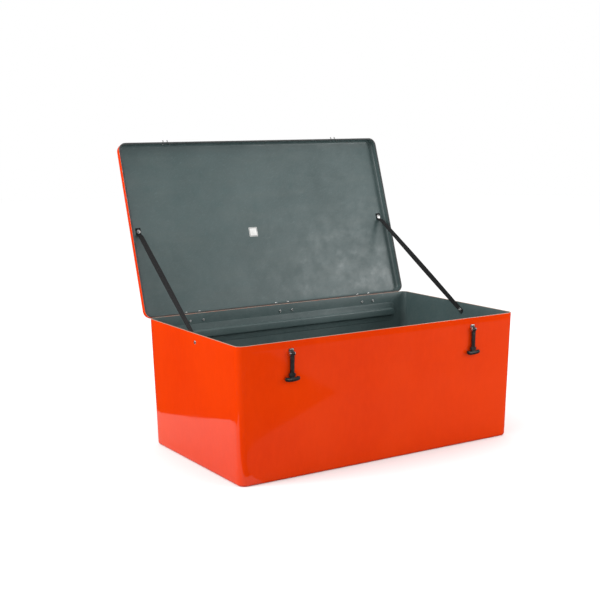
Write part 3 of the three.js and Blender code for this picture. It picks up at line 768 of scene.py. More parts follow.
@dataclass(frozen=True)
class Webbing:
    """Black woven webbing. The weave follows the strap through its own coordinates, in strap widths. Its
    colour is darker in the weave's hollows and paler on the yarns' crowns: painted shade and painted
    highlight.
    """

    name: str = "black_webbing"
    # The yarn tone is painted shade in the hollows of the weave; the crown tone is a painted highlight on the
    # yarns' crowns.
    yarn: Colour = (0.0030, 0.0030, 0.0034)
    crown: Colour = (0.0130, 0.0130, 0.0140)
    ribs_across: float = 13
    picks_per_width: float = 17

    def wave(self, recipe: Recipe, uv: bpy.types.NodeSocket, direction: str, count: float
             ) -> bpy.types.NodeSocket:
        """One set of yarns.

        Args:
            recipe: The material being made.
            uv: The strap's own coordinates.
            direction: The axis that the yarns repeat along.
            count: The yarns in one strap width.

        Returns:
            The yarns' height from 0 to 1.
        """
        inputs = {"Vector": uv, "Scale": count * math.pi / 10, "Distortion": 0.0}
        return recipe.node("TexWave", inputs, bands_direction=direction).outputs["Fac"]

    def mix(self) -> Material:
        """Makes the material."""
        recipe = Recipe(self.name)
        recipe.setting(Sheen_Weight=0.05, Sheen_Roughness=0.5, IOR=1.5, Specular_IOR_Level=0.3)
        uv = recipe.node("UVMap", uv_map="UVMap").outputs["UV"]
        ribs = self.wave(recipe, uv, "X", self.ribs_across)
        picks = self.wave(recipe, uv, "Y", self.picks_per_width)
        weave = recipe.total(ribs, picks, "MULTIPLY")
        fuzz = recipe.noise(900, 3, 0.6)
        shade = recipe.total(weave, recipe.ramp(fuzz, 0.3, 0.7, -0.12, 0.12))
        # Painted shade in the weave's hollows and painted highlight on its crowns; the fuzz adds an uneven
        # tone of the yarn's own.
        colour = recipe.shades(shade, (0.05, self.yarn), (0.85, self.crown))
        rough = recipe.ramp(weave, 0, 1, 0.82, 0.58)
        recipe.bumps((weave, 0.28 * MM), (fuzz, 0.05 * MM))
        return recipe.drive(Base_Color=colour, Roughness=rough)


@dataclass(frozen=True)
class LabelFilm:
    """White printed film: a blank panel inside a thin grey border, with its own coordinates."""

    name: str = "blank_label_film"
    film: Colour = (0.74, 0.74, 0.72)
    border: Colour = (0.16, 0.17, 0.17)
    border_width: float = 0.06
    border_reach: float = 0.46
    border_blur: float = 0.004

    def mix(self) -> Material:
        """Makes the material."""
        recipe = Recipe(self.name)
        recipe.setting(IOR=1.46, Coat_Weight=0.4, Coat_Roughness=0.15)
        uv = recipe.node("UVMap", uv_map="UVMap").outputs["UV"]
        parts = recipe.node("SeparateXYZ", {"Vector": uv})
        inside = None
        for name in ("X", "Y"):
            off = recipe.total(parts.outputs[name], 0.5, "SUBTRACT")
            span = recipe.node("Math", {0: off}, operation="ABSOLUTE").outputs["Value"]
            inside = span if inside is None else recipe.total(inside, span, "MAXIMUM")
        outer, inner = self.border_reach, self.border_reach - self.border_width
        line = recipe.total(
            recipe.ramp(inside, inner - self.border_blur, inner, 0, 1),
            recipe.ramp(inside, outer, outer + self.border_blur, 1, 0),
            "MULTIPLY",
        )
        grime = recipe.noise(160, 4, 0.6)
        paper = recipe.shades(grime, (0.3, tuple(share * 0.86 for share in self.film)), (0.6, self.film))
        colour = recipe.mixed(line, paper, (*self.border, 1))
        recipe.bumps((recipe.noise(300, 2), 0.08 * MM))
        return recipe.drive(Base_Color=colour, Roughness=recipe.ramp(grime, 0.3, 0.7, 0.30, 0.48))


@dataclass
class Finishes:
    """Every finish of the chest, each made once."""

    gelcoat: Material = field(default_factory=lambda: GelCoat().mix())
    flow_coat: Material = field(default_factory=lambda: FlowCoat().mix())
    edge: Material = field(default_factory=lambda: TrimmedEdge().mix())
    steel: Material = field(default_factory=lambda: Stainless().mix())
    latch_rubber: Material = field(default_factory=lambda: Rubber().mix())
    seal_rubber: Material = field(
        default_factory=lambda: Rubber("seal_rubber", (0.030, 0.034, 0.034), (0.060, 0.066, 0.066),
                                       0.55).mix()
    )
    webbing: Material = field(default_factory=lambda: Webbing().mix())
    thread: Material = field(
        default_factory=lambda: Rubber("polyester_thread", (0.030, 0.030, 0.032), (0.07, 0.07, 0.072), 0.6,
                                       2500).mix()
    )
    label: Material = field(default_factory=lambda: LabelFilm().mix())


# ---------------------------------------------------------------- mouldings


@dataclass
class Tray:
    """One face of a moulding: an open tray with a rim, drafted sides, rounded corners and a flat end."""

    half_x: float
    half_y: float
    rim: float
    end: float
    draw: float
    corner: float
    edge: float
    centre_y: float = 0
    grid: float = 30 * MM

    def lines(self, reach: float) -> list[float]:
        """Places of the grid lines each side of the middle, within a reach."""
        count = math.floor(reach / self.grid)
        return [number * self.grid for number in range(-count, count + 1)]

    def form(self, name: str) -> Piece:
        """Models the tray.

        Args:
            name: The piece's name.

        Returns:
            The open tray.
        """
        low, high = sorted((self.rim, self.end))
        front, back = self.centre_y - self.half_y, self.centre_y + self.half_y
        tray = block(name, (-self.half_x, front, low), (self.half_x, back, high))
        pick(tray, Element.FACE, lambda centre, normal: abs(centre.z - self.end) < TOUCH)
        shares = (1 - self.draw / self.half_x, 1 - self.draw / self.half_y, 1)
        bpy.ops.transform.resize(value=shares)
        tall = (high - low) / 2
        round_edges(tray, lambda a, b: abs(a.z - b.z) > tall, self.corner, 8)
        at_end = lambda point: abs(point.z - self.end) < TOUCH
        round_edges(tray, lambda a, b: at_end(a) and at_end(b), self.edge, 6)
        pick(tray, Element.FACE, lambda centre, normal: abs(centre.z - self.rim) < TOUCH)
        bpy.ops.mesh.delete(type="FACE")
        let_go()
        clear = self.corner + self.draw + self.grid / 4
        slice_across(tray, Axis.X, self.lines(self.half_x - clear))
        slice_across(tray, Axis.Y, [self.centre_y + y for y in self.lines(self.half_y - clear)])
        rows = [z for z in self.lines(high) if low + self.edge + 6 * MM < z < high - self.edge - 2 * MM]
        slice_across(tray, Axis.Z, rows)
        return tray


def shell(name: str, outside: Piece, inside: Piece, rim: float, finishes: Finishes, softness: float) -> Piece:
    """Joins the two faces of a moulding across their rims.

    Args:
        name: The moulding's name.
        outside: Its outer face.
        inside: Its inner face.
        rim: The height of the rim.
        finishes: The finishes, for the three kinds of face.
        softness: The radius taken off the rim's two edges.

    Returns:
        The closed moulding, gel coat outside, flow coat inside and a trimmed rim.
    """
    dress(outside, finishes.gelcoat, finishes.edge)
    dress(inside, finishes.flow_coat)
    gather(outside, inside)
    outside.name = name
    at_rim = lambda point: abs(point.z - rim) < TOUCH
    for side in (-1, 1):
        in_half = lambda a, b: at_rim(a) and at_rim(b) and side * (a.x + b.x) > TOUCH
        pick(outside, Element.EDGE, in_half)
        bpy.ops.mesh.bridge_edge_loops()
    bpy.ops.mesh.select_all(action="SELECT")
    bpy.ops.mesh.remove_doubles(threshold=TOUCH)
    bpy.ops.mesh.normals_make_consistent(inside=False)
    pick(outside, Element.FACE, lambda centre, normal: abs(centre.z - rim) < TOUCH)
    outside.active_material_index = 1
    bpy.ops.object.material_slot_assign()
    bpy.ops.mesh.select_mode(type="EDGE")
    bpy.ops.mesh.select_all(action="DESELECT")
    bpy.ops.mesh.edges_select_sharp(sharpness=math.radians(60))
    bpy.ops.mesh.bevel(offset=softness, offset_type="OFFSET", segments=3, profile=0.5, affect="EDGES")
    let_go()
    return outside


def hand_laid(piece: Piece, name: str, depth: float, patch: float, weight: Callable[[Vector], float]) -> None:
    """Gives a moulding the slight waviness of hand-laid laminate.

    Args:
        piece: The moulding.
        name: The name of its pattern.
        depth: How far the face wanders in all.
        patch: The size of a wave.
        weight: How much a point may move, from 0 to 1.
    """
    group = piece.vertex_groups.new(name=name)
    for vertex in piece.data.vertices:
        group.add([vertex.index], weight(vertex.co), "REPLACE")
    waves = bpy.data.textures.new(name, "CLOUDS")
    waves.noise_scale = patch
    waves.noise_depth = 1
    modify(piece, "DISPLACE", texture=waves, texture_coords="LOCAL", strength=depth, mid_level=0.5,
           vertex_group=name)
    piece.vertex_groups.remove(piece.vertex_groups[name])


def eased(value: float, low: float, high: float) -> float:
    """A smooth step from 0 at low to 1 at high."""
    share = min(1.0, max(0.0, (value - low) / (high - low)))
    return share * share * (3 - 2 * share)


@dataclass
class BoxMoulding:
    """The box: one deep tray, drafted outwards to its rim, with a stiffener bonded inside its back wall."""

    finishes: Finishes
    wall: float = 6 * MM
    corner: float = 28 * MM
    base_edge: float = 10 * MM
    floor_fillet: float = 18 * MM
    rim_softness: float = 1.3 * MM
    wave_depth: float = 1.6 * MM
    wave_length: float = 0.26
    flange: float = 24 * MM
    flange_thickness: float = 1.5 * MM
    stiffener_edge: float = 5 * MM

    def face(self, inset: float, end: float, edge: float) -> Tray:
        """One face of the box's wall.

        Args:
            inset: How far it lies inside the outside.
            end: The height of its floor.
            edge: The radius round its floor.

        Returns:
            The tray.
        """
        return Tray(BOX_TOP.x - inset, BOX_TOP.y - inset, BOX_TOP.z, end, drawn_in(end), self.corner - inset,
                    edge)

    def build(self) -> None:
        """Models the box and its stiffener."""
        outside = self.face(0, 0, self.base_edge).form("box_outside")
        inside = self.face(self.wall, self.wall, self.floor_fillet).form("box_inside")
        box = shell("box_moulding", outside, inside, BOX_TOP.z, self.finishes, self.rim_softness)
        hand_laid(box, "box_waves", self.wave_depth, self.wave_length, self.freedom)
        fair(box)
        hang(box, Body.BOX, Slot.BOX_MOULDING, "box_shell")
        self.build_stiffener()

    def freedom(self, point: Vector) -> float:
        """How much the laminate wanders at a point: not at the rim nor under the base."""
        return eased(point.z, 12 * MM, 60 * MM) * eased(BOX_TOP.z - point.z, 2 * MM, 60 * MM)

    def build_stiffener(self) -> None:
        """Models the stiffener, rounded along its front and glassed to the wall by a thin flange."""
        low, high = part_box("back_stiffener")
        centre = middle((low, high))
        half_x = (high.x - low.x) / 2
        half_z = (high.z - low.z) / 2 - self.stiffener_edge * 0.02
        proud = (high.y - low.y) - half_z * 2 * math.sin(DRAFT_ANGLE)
        rib = block("stiffener_rib", (-half_x, -proud, -half_z), (half_x, 0, half_z))
        ends = lambda a, b: abs(a.x - b.x) < TOUCH and abs(a.z - b.z) < TOUCH
        round_edges(rib, ends, half_z - 1 * MM, 8)
        front = lambda point: point.y < -proud + TOUCH
        round_edges(rib, lambda a, b: front(a) and front(b), self.stiffener_edge, 5)
        reach = Vector((half_x + self.flange * 0.5, 0, half_z + self.flange))
        glass = block("flange", (-reach.x, -self.flange_thickness, -reach.z), (reach.x, 0, reach.z))
        round_edges(glass, ends, self.flange, 8)
        edge = lambda point: point.y < -self.flange_thickness + TOUCH
        round_edges(glass, lambda a, b: edge(a) and edge(b), self.flange_thickness * 0.8, 3)
        fuse(rib, glass)
        soften(rib, 1.4 * MM, 3, 50)
        wall_y = BOX_TOP.y - drawn_in(centre.z) - self.wall - GAP
        tilt = Matrix.Rotation(-DRAFT_ANGLE, 4, "X")
        settle(rib, Matrix.Translation((0, wall_y, centre.z)) @ tilt)
        dress(rib, self.finishes.flow_coat)
        fair(rib)
        hang(rib, Body.BOX, Slot.FLOW_COAT, "back_stiffener")


@dataclass
class LidMoulding:
    """The lid: a shallow tray turned over the box, crowned on top, with its seal and its blank label."""

    finishes: Finishes
    wall: float = 5 * MM
    corner: float = 30 * MM
    edge: float = 11 * MM
    flange_draft: float = 1 * MM
    crown: float = 6 * MM
    crown_share: float = 0.7
    rim_softness: float = 1.0 * MM
    wave_depth: float = 0.9 * MM
    wave_length: float = 0.30
    seal_width: float = 6 * MM
    label_corner: float = 3 * MM

    def top_edge(self) -> float:
        """The height of the lid's outside where its crown starts."""
        return LID_HIGH.z - self.crown

    def risen(self, tray: Tray, point: Vector) -> float:
        """How far the crown lifts a point of a face of the lid.

        Args:
            tray: The face's tray.
            point: The point on its flat end.

        Returns:
            The rise.
        """
        run = tray.half_y * self.crown_share
        rise = self.crown
        for half, off in ((tray.half_x, point.x), (tray.half_y, point.y - tray.centre_y)):
            share = (half - abs(off) - tray.draw - tray.edge) / run
            rise *= math.sin(min(1.0, max(0.0, share)) * QUARTER)
        return rise

    def face(self, inset: float, edge: float, name: str) -> Piece:
        """Models one face of the lid.

        Args:
            inset: How far it lies inside the outside.
            edge: The radius round its top.
            name: The piece's name.

        Returns:
            The crowned tray.
        """
        half_x = LID_HIGH.x - inset
        half_y = (LID_HIGH.y - LID_LOW.y) / 2 - inset
        end = self.top_edge() - inset
        tray = Tray(half_x, half_y, LID_LOW.z, end, self.flange_draft, self.corner - inset, edge,
                    (LID_HIGH.y + LID_LOW.y) / 2)
        piece = tray.form(name)
        for vertex in piece.data.vertices:
            if abs(vertex.co.z - end) < TOUCH:
                vertex.co.z += self.risen(tray, vertex.co)
        return piece

    def build(self) -> None:
        """Models the lid, its seal and its label."""
        outside = self.face(0, self.edge, "lid_outside")
        inside = self.face(self.wall, self.edge - self.wall / 2, "lid_inside")
        lid = shell("lid_moulding", outside, inside, LID_LOW.z, self.finishes, self.rim_softness)
        hand_laid(lid, "lid_waves", self.wave_depth, self.wave_length, self.freedom)
        settle(lid, OPEN_LID)
        fair(lid)
        hang(lid, Body.LID, Slot.LID_MOULDING, "lid_shell")
        self.build_seal()
        self.build_label()

    def freedom(self, point: Vector) -> float:
        """How much the laminate wanders at a point: not at the rim, nor behind the label."""
        label = middle(shut_box("inside_label"))
        away = math.hypot(point.x - label.x, point.y - label.y)
        return eased(point.z, LID_LOW.z + 4 * MM, LID_LOW.z + 24 * MM) * eased(away, 30 * MM, 120 * MM)

    def build_seal(self) -> None:
        """Models the rubber strip round the lid's rim, rounded along its face."""
        low, high = shut_box("lid_seal")
        seal = block("rim_seal", low, high)
        tall = (high.z - low.z) / 2
        round_edges(seal, lambda a, b: abs(a.z - b.z) > tall, self.corner, 8)
        pick(seal, Element.FACE, lambda centre, normal: abs(normal.z) > 0.9)
        bpy.ops.mesh.inset(thickness=self.seal_width, use_individual=True)
        bpy.ops.mesh.bridge_edge_loops()
        let_go()
        soften(seal, 1.1 * MM, 3, 60)
        settle(seal, OPEN_LID)
        dress(seal, self.finishes.seal_rubber)
        fair(seal)
        hang(seal, Body.LID, Slot.SEAL_RUBBER, "lid_seal")

    def build_label(self) -> None:
        """Models the blank label, with rounded corners."""
        low, high = shut_box("inside_label")
        label = block("blank_label", low, high)
        tall = (high.z - low.z) / 2
        round_edges(label, lambda a, b: abs(a.z - b.z) > tall, self.label_corner, 6)
        soften(label, 0.1 * MM, 2, 60)
        size = high - low
        layer = label.data.uv_layers[0]
        layer.name = "UVMap"
        for loop in label.data.loops:
            off = label.data.vertices[loop.vertex_index].co - low
            layer.data[loop.index].uv = (off.x / size.x, off.y / size.y)
        settle(label, OPEN_LID)
        dress(label, self.finishes.label)
        fair(label)
        hang(label, Body.LID, Slot.LABEL_FILM, "inside_label")


# ---------------------------------------------------------------- fixings


@dataclass(frozen=True)
class Fixing:
    """A headed fixing along Z: its head below 0, its shank through the grip and its tail beyond."""

    shank: float
    head: float
    head_height: float
    tail: float
    tail_height: float

    def grip(self, length: float) -> float:
        """The grip of a fixing whose whole length is given."""
        return length - self.head_height - self.tail_height

    def domed(self) -> list[tuple[float, float]]:
        """The profile of a domed head, up to its underside."""
        shares = ((0.34, 1.0), (0.62, 0.93), (0.84, 0.72), (0.96, 0.42), (1.0, 0.14), (1.0, 0.0))
        return [(self.head * wide, -self.head_height * high) for wide, high in shares]

    def thread(self, start: float, end: float, pitch: float = 0.8 * MM) -> list[tuple[float, float]]:
        """The profile of a threaded end.

        Args:
            start: Where the thread starts.
            end: Where it ends.
            pitch: The distance from crest to crest.

        Returns:
            Radius and height of each crest and root.
        """
        count = max(1, int((end - start) / pitch))
        crests = []
        for number in range(count):
            crests.append((self.shank, start + (number + 0.3) * pitch))
            crests.append((self.shank * 0.86, start + (number + 0.8) * pitch))
        return crests + [(self.shank * 0.7, end)]


def hexagon(name: str, radius: float, low: float, high: float, bore: float) -> Piece:
    """Models a chamfered hexagon nut about Z.

    Args:
        name: The piece's name.
        radius: Its radius over the corners.
        low: The height of its underside.
        high: The height of its top.
        bore: The radius of its bore.

    Returns:
        The nut.
    """
    chamfer = (high - low) * 0.16
    steps = [(radius * 0.90, low), (radius, low + chamfer), (radius, high - chamfer), (radius * 0.90, high)]
    nut = turning(name, steps, 6)
    cut(nut, bar("nut_bore", bore, 3 * (high - low), Axis.Z, (0, 0, (low + high) / 2), 24))
    soften(nut, 0.15 * MM, 2, 30)
    return nut


def washer(name: str, radius: float, low: float, high: float, bore: float) -> Piece:
    """Models a washer about Z, its edges rolled.

    Args:
        name: The piece's name.
        radius: Its radius.
        low: The height of its underside.
        high: The height of its top.
        bore: The radius of its bore.

    Returns:
        The washer.
    """
    ring = bar(name, radius, high - low, Axis.Z, (0, 0, (low + high) / 2), 40)
    cut(ring, bar("washer_bore", bore, 3 * (high - low), Axis.Z, (0, 0, (low + high) / 2), 32))
    soften(ring, (high - low) * 0.25, 2, 40)
    return ring


def socket(piece: Piece, radius: float, top: float, depth: float) -> None:
    """Cuts a hexagon socket into a head that stands below 0.

    Args:
        piece: The fixing.
        radius: The socket's radius over its corners.
        top: The height of the head's outer face.
        depth: How deep the socket goes.
    """
    cut(piece, bar("socket_cutter", radius, 2 * depth, Axis.Z, (0, 0, top), 6))


def along(direction: Vector) -> Matrix:
    """The turn that lays Z along a direction."""
    return direction.to_track_quat("Z", "X").to_matrix().to_4x4()


def headed_pin(half: float, radius: float, head: float, height: float, crown: tuple[float, float]) -> Piece:
    """Models a pin along X, with a domed head at each end.

    Args:
        half: Half its length between the heads.
        radius: Its radius.
        head: The radius of its heads.
        height: How far each head stands out.
        crown: The radii of a head's two upper steps, as shares of its own.

    Returns:
        The pin.
    """
    top, shoulder = crown
    rounded = ((head * top, height), (head * shoulder, height * 0.8), (head, height * 0.4), (head, 0))
    profile = [(r, -half - z) for r, z in rounded] + [(radius, -half), (radius, half)]
    profile += [(r, half + z) for r, z in reversed(rounded)]
    pin = turning("pin", profile, 28)
    settle(pin, along(Vector((1, 0, 0))))
    return pin


def set_fixing(pattern: Piece, name: str, node: str, body: Body, inwards: Vector, back: float) -> None:
    """Sets a copy of a fixing where its node is and hangs it on its body.

    Args:
        pattern: The fixing, with its head below 0.
        name: The copy's name.
        node: The node that it stands for.
        body: The body it is fixed to.
        inwards: The direction that it goes in, with the lid shut.
        back: How far its 0 lies behind the middle of the node.
    """
    on_lid = body is Body.LID
    centre = middle(shut_box(node) if on_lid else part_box(node))
    place = Matrix.Translation(centre - inwards * back) @ along(inwards)
    hang(stamp(pattern, name, OPEN_LID @ place if on_lid else place), body, Slot.STAINLESS_STEEL, node)


# ---------------------------------------------------------------- hinges


@dataclass
class Hinges:
    """Three butt hinges behind the back wall: two leaves, a headed pin and four bolts with nuts each."""

    finishes: Finishes
    names: tuple[str, ...] = ("left", "centre", "right")
    length: float = 90 * MM
    leaf: float = 2 * MM
    box_leaf_height: float = 34 * MM
    lid_leaf_height: float = 28 * MM
    knuckle: float = 4.5 * MM
    knuckles: int = 5
    pin: float = 2.2 * MM
    pin_head: float = 1.8 * MM
    pin_crown: tuple[float, float] = (0.45, 0.8)
    bore: float = 2.6 * MM
    leaf_corner: float = 5 * MM
    bolt: Fixing = Fixing(2.5 * MM, 5 * MM, 2.6 * MM, 4.8 * MM, 4.5 * MM)
    socket_radius: float = 1.9 * MM
    socket_depth: float = 1.4 * MM
    washer_height: float = 0.9 * MM
    bolt_end: float = 0.8 * MM
    bolt_spacing: float = 56 * MM
    box_bolt_drop: float = 22 * MM
    lid_bolt_rise: float = 19 * MM

    def leaf_pattern(self, first: int, up: int, height: float, bolt_reach: float) -> Piece:
        """Models a leaf about its pin's axis, with its knuckles rolled from the plate.

        Args:
            first: The first knuckle that this leaf carries; it carries every other one.
            up: 1 where the leaf stands up from the pin and -1 where it hangs.
            height: The leaf's reach from the pin.
            bolt_reach: The bolts' distance from the pin.

        Returns:
            The leaf.
        """
        back, front = -self.knuckle, -self.knuckle + self.leaf
        clear = self.knuckle + 2 * GAP
        half = self.length / 2
        pitch = self.length / self.knuckles
        knuckle_half = pitch / 2 - GAP
        span = lambda near, far: sorted((up * near, up * far))
        low, high = span(clear, height)
        leaf = block("leaf", (-half, back, low), (half, front, high))
        far = lambda point: abs(point.z - up * height) < TOUCH
        far_corner = lambda a, b: far(a) and far(b) and abs(a.x - b.x) < TOUCH
        round_edges(leaf, far_corner, self.leaf_corner, 6)
        tab_low, tab_high = span(0, clear + 1 * MM)
        shy = 0.05 * MM
        for number in range(first, self.knuckles, 2):
            x = -half + pitch * (number + 0.5)
            roll = bar("roll", self.knuckle, 2 * knuckle_half, Axis.X, (x, 0, 0), 36)
            reach = knuckle_half - shy
            tab = block("tab", (x - reach, back + shy, tab_low), (x + reach, front - shy, tab_high))
            fuse(leaf, tab, roll)
        cut(leaf, bar("bore", self.bore, 2 * self.length, Axis.X, sides=28))
        for side in (-1, 1):
            place = (side * self.bolt_spacing / 2, 0, up * bolt_reach)
            cut(leaf, bar("hole", self.bolt.shank + GAP, 4 * self.knuckle, Axis.Y, place, 28))
        soften(leaf, 0.25 * MM, 2, 50)
        return finished(leaf, 30, self.finishes.steel)

    def pin_pattern(self) -> Piece:
        """Models the pin along X, with a domed head at each end."""
        half = self.length / 2 + GAP
        pin = headed_pin(half, self.pin, self.knuckle * 0.9, self.pin_head, self.pin_crown)
        return finished(pin, 50, self.finishes.steel)

    def bolt_pattern(self, length: float) -> Piece:
        """Models a button-head bolt with its washer and nut.

        Args:
            length: Its whole length.

        Returns:
            The bolt, with its head below 0.
        """
        bolt = self.bolt
        grip = bolt.grip(length)
        end = grip + bolt.tail_height
        profile = bolt.domed() + [(bolt.shank, 0), (bolt.shank, grip)] + bolt.thread(grip + 0.2 * MM, end)
        body = turning("bolt", profile, 28)
        socket(body, self.socket_radius, -bolt.head_height, self.socket_depth)
        seat = grip + self.washer_height
        ring = washer("washer", bolt.tail, grip, seat, bolt.shank + 0.1 * MM)
        nut = hexagon("nut", bolt.tail * 0.94, seat, end - self.bolt_end, bolt.shank * 0.99)
        gather(body, ring, nut)
        return finished(body, 32, self.finishes.steel)

    def build(self) -> None:
        """Models the patterns and sets them at each hinge."""
        box_leaf = self.leaf_pattern(0, -1, self.box_leaf_height, self.box_bolt_drop)
        lid_leaf = self.leaf_pattern(1, 1, self.lid_leaf_height, self.lid_bolt_rise)
        pin = self.pin_pattern()
        tilt = Matrix.Rotation(-DRAFT_ANGLE, 4, "X")
        inwards = tilt @ Vector((0, -1, 0))
        box_bolt_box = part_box(f"{self.names[0]}_hinge_box_bolt_1")
        lid_bolt_box = shut_box(f"{self.names[0]}_hinge_lid_bolt_1")
        spread = 2 * self.bolt.head * math.sin(DRAFT_ANGLE)
        box_length = (box_bolt_box[1] - box_bolt_box[0]).y - spread
        lid_length = (lid_bolt_box[1] - lid_bolt_box[0]).y
        box_bolt, lid_bolt = self.bolt_pattern(box_length), self.bolt_pattern(lid_length)
        for name in self.names:
            x = middle(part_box(f"{name}_hinge_pin")).x
            at_pin = Matrix.Translation((x, HINGE_PIN.y, HINGE_PIN.z))
            parts = (
                (box_leaf, "fixed_leaf", at_pin @ tilt, Body.BOX, "box_leaf"),
                (pin, "spindle", at_pin @ tilt, Body.BOX, "pin"),
                (lid_leaf, "moving_leaf", OPEN_LID @ at_pin, Body.LID, "lid_leaf"),
            )
            for pattern, word, place, body, node in parts:
                piece = stamp(pattern, f"{name}_hinge_{word}", place)
                hang(piece, body, Slot.STAINLESS_STEEL, f"{name}_hinge_{node}")
            for number in (1, 2):
                set_fixing(box_bolt, f"{name}_hinge_wall_fixing_{number}", f"{name}_hinge_box_bolt_{number}",
                           Body.BOX, inwards, box_length / 2 - self.bolt.head_height)
                set_fixing(lid_bolt, f"{name}_hinge_lid_fixing_{number}", f"{name}_hinge_lid_bolt_{number}",
                           Body.LID, Vector((0, -1, 0)), lid_length / 2 - self.bolt.head_height)
        scrap(box_leaf, lid_leaf, pin, box_bolt, lid_bolt)


# ---------------------------------------------------------------- latches


@dataclass
class Latches:
    """Two rubber T-handle latches on the front wall, with their brackets, pins, keepers and rivets."""

    finishes: Finishes
    standoff: float = 8.6 * MM
    pin: float = 2.5 * MM
    pin_lip: float = 1.2 * MM
    pin_head: float = 1.6 * MM
    pin_crown: tuple[float, float] = (0.5, 0.86)
    eye: float = 6 * MM
    eye_width: float = 15 * MM
    neck_width: float = 14 * MM
    thickness: float = 7 * MM
    shoulder_reach: float = 67 * MM
    shoulder_length: float = 11 * MM
    shoulder_width: float = 24 * MM
    handle_reach: float = 89 * MM
    handle_width: float = 58 * MM
    handle_radius: float = 6 * MM
    handle_bow: float = 3 * MM
    sheet: float = 1.6 * MM
    above_pin: float = 17 * MM
    below_pin: float = 9 * MM
    nose: float = 5 * MM
    rib_width: float = 3.2 * MM
    rib_height: float = 1.2 * MM
    ring_radius: float = 6.5 * MM
    ring_width: float = 1.6 * MM
    ring_pitch: float = 4 * MM
    rings: int = 3
    first_ring: float = 8 * MM
    rivet: Fixing = Fixing(2 * MM, 3.2 * MM, 1.4 * MM, 3 * MM, 1.6 * MM)
    keeper_slot: float = 15 * MM
    prong_width: float = 3.2 * MM
    prong_thickness: float = 2.4 * MM
    prong_drop: float = 1.5 * MM
    prong_tip: float = 2 * MM
    skin: float = 0.8 * MM

    def bracket_pattern(self) -> Piece:
        """Models the bracket about its pin's axis: a plate folded forward into two rounded cheeks."""
        wall = self.standoff - GAP
        inside = self.eye_width / 2 + 2 * GAP
        half = inside + self.sheet
        plate = block("plate", (-half, wall - self.sheet, -self.below_pin), (half, wall, self.above_pin))
        top = lambda point: point.z > self.above_pin - TOUCH
        round_edges(plate, lambda a, b: top(a) and top(b) and abs(a.x - b.x) < TOUCH, 4 * MM, 6)
        for side in (-1, 1):
            low, high = sorted((side * inside, side * half))
            cheek = block("cheek", (low, -self.nose, -self.below_pin), (high, wall, self.below_pin))
            front = lambda point: point.y < -self.nose + TOUCH
            pick(cheek, Element.FACE, lambda centre, normal: front(centre))
            bpy.ops.transform.resize(value=(1, 1, self.nose / self.below_pin))
            across = lambda a, b: front(a) and front(b) and abs(a.z - b.z) < TOUCH
            round_edges(cheek, across, self.nose * 0.9, 8)
            fuse(plate, cheek)
        cut(plate, bar("bore", self.pin + GAP, 4 * half, Axis.X, sides=28))
        soften(plate, 0.35 * MM, 2, 50)
        return finished(plate, 34, self.finishes.steel)

    def pin_pattern(self) -> Piece:
        """Models the cross pin along X, with a rounded head outside each cheek."""
        half = self.eye_width / 2 + 3 * GAP + self.sheet
        pin = headed_pin(half, self.pin, self.pin + self.pin_lip, self.pin_head, self.pin_crown)
        return finished(pin, 50, self.finishes.steel)

    def handle_pattern(self) -> Piece:
        """Models the rubber strap hanging from its pin: eye, waisted neck, shoulder and bowed T handle."""
        half = self.eye_width / 2
        thick = self.thickness / 2
        strap = block("strap", (-half, -thick, -self.eye - 8 * MM), (half, thick, 0))
        pick(strap, Element.FACE, lambda centre, normal: normal.z < -0.9)
        end = self.shoulder_reach + self.shoulder_length
        stations = (
            (self.neck_width, self.eye + 20 * MM),
            (self.neck_width, self.shoulder_reach - 1 * MM),
            (self.shoulder_width, self.shoulder_reach),
            (self.shoulder_width, end - 2.5 * MM),
            (self.shoulder_width * 0.76, end),
            (self.eye_width, end + 2 * MM),
            (self.eye_width, self.handle_reach),
        )
        width, reach = self.eye_width, self.eye + 8 * MM
        for next_width, next_reach in stations:
            drop = {"value": (0, 0, reach - next_reach)}
            bpy.ops.mesh.extrude_region_move(TRANSFORM_OT_translate=drop)
            bpy.ops.transform.resize(value=(next_width / width, 1, 1))
            width, reach = next_width, next_reach
        let_go()
        eye = bar("eye", self.eye, self.eye_width, Axis.X, sides=36)
        rib_low, rib_high = -self.shoulder_reach + 3 * MM, -self.eye - 12 * MM
        rib_half = self.rib_width / 2
        rib = block("rib", (-rib_half, -thick - self.rib_height, rib_low), (rib_half, 0, rib_high))
        gather(strap, eye, rib, self.grip_bar())
        modify(strap, "REMESH", mode="VOXEL", voxel_size=self.skin)
        modify(strap, "SMOOTH", factor=0.5, iterations=5)
        cut(strap, bar("bore", self.pin + GAP, 2 * self.eye_width, Axis.X, sides=28))
        return finished(strap, 50, self.finishes.latch_rubber)

    def grip_bar(self) -> Piece:
        """Models the T handle: a round bar, its ends bowed up and outwards, with raised rings near them."""
        half = self.handle_width / 2
        grip = bar("grip", self.handle_radius, self.handle_width, Axis.X, sides=28)
        tip = lambda point: abs(point.x) > half - TOUCH
        round_edges(grip, lambda a, b: tip(a) and tip(b), self.handle_radius * 0.8, 5)
        slice_across(grip, Axis.X, [half * share / 8 for share in range(-6, 7)])
        for side in (-1, 1):
            for number in range(self.rings):
                x = side * (half - self.first_ring - self.ring_pitch * number)
                ring = bar("ring", self.ring_radius, self.ring_width, Axis.X, (x, 0, 0), 28)
                gather(grip, ring)
        run = half - self.handle_radius
        for vertex in grip.data.vertices:
            share = (vertex.co.x / run) ** 2
            vertex.co.z += self.handle_bow * min(share, 1.3) - self.handle_reach
            vertex.co.y -= self.handle_bow / 2 * min(share, 1.3)
        return grip

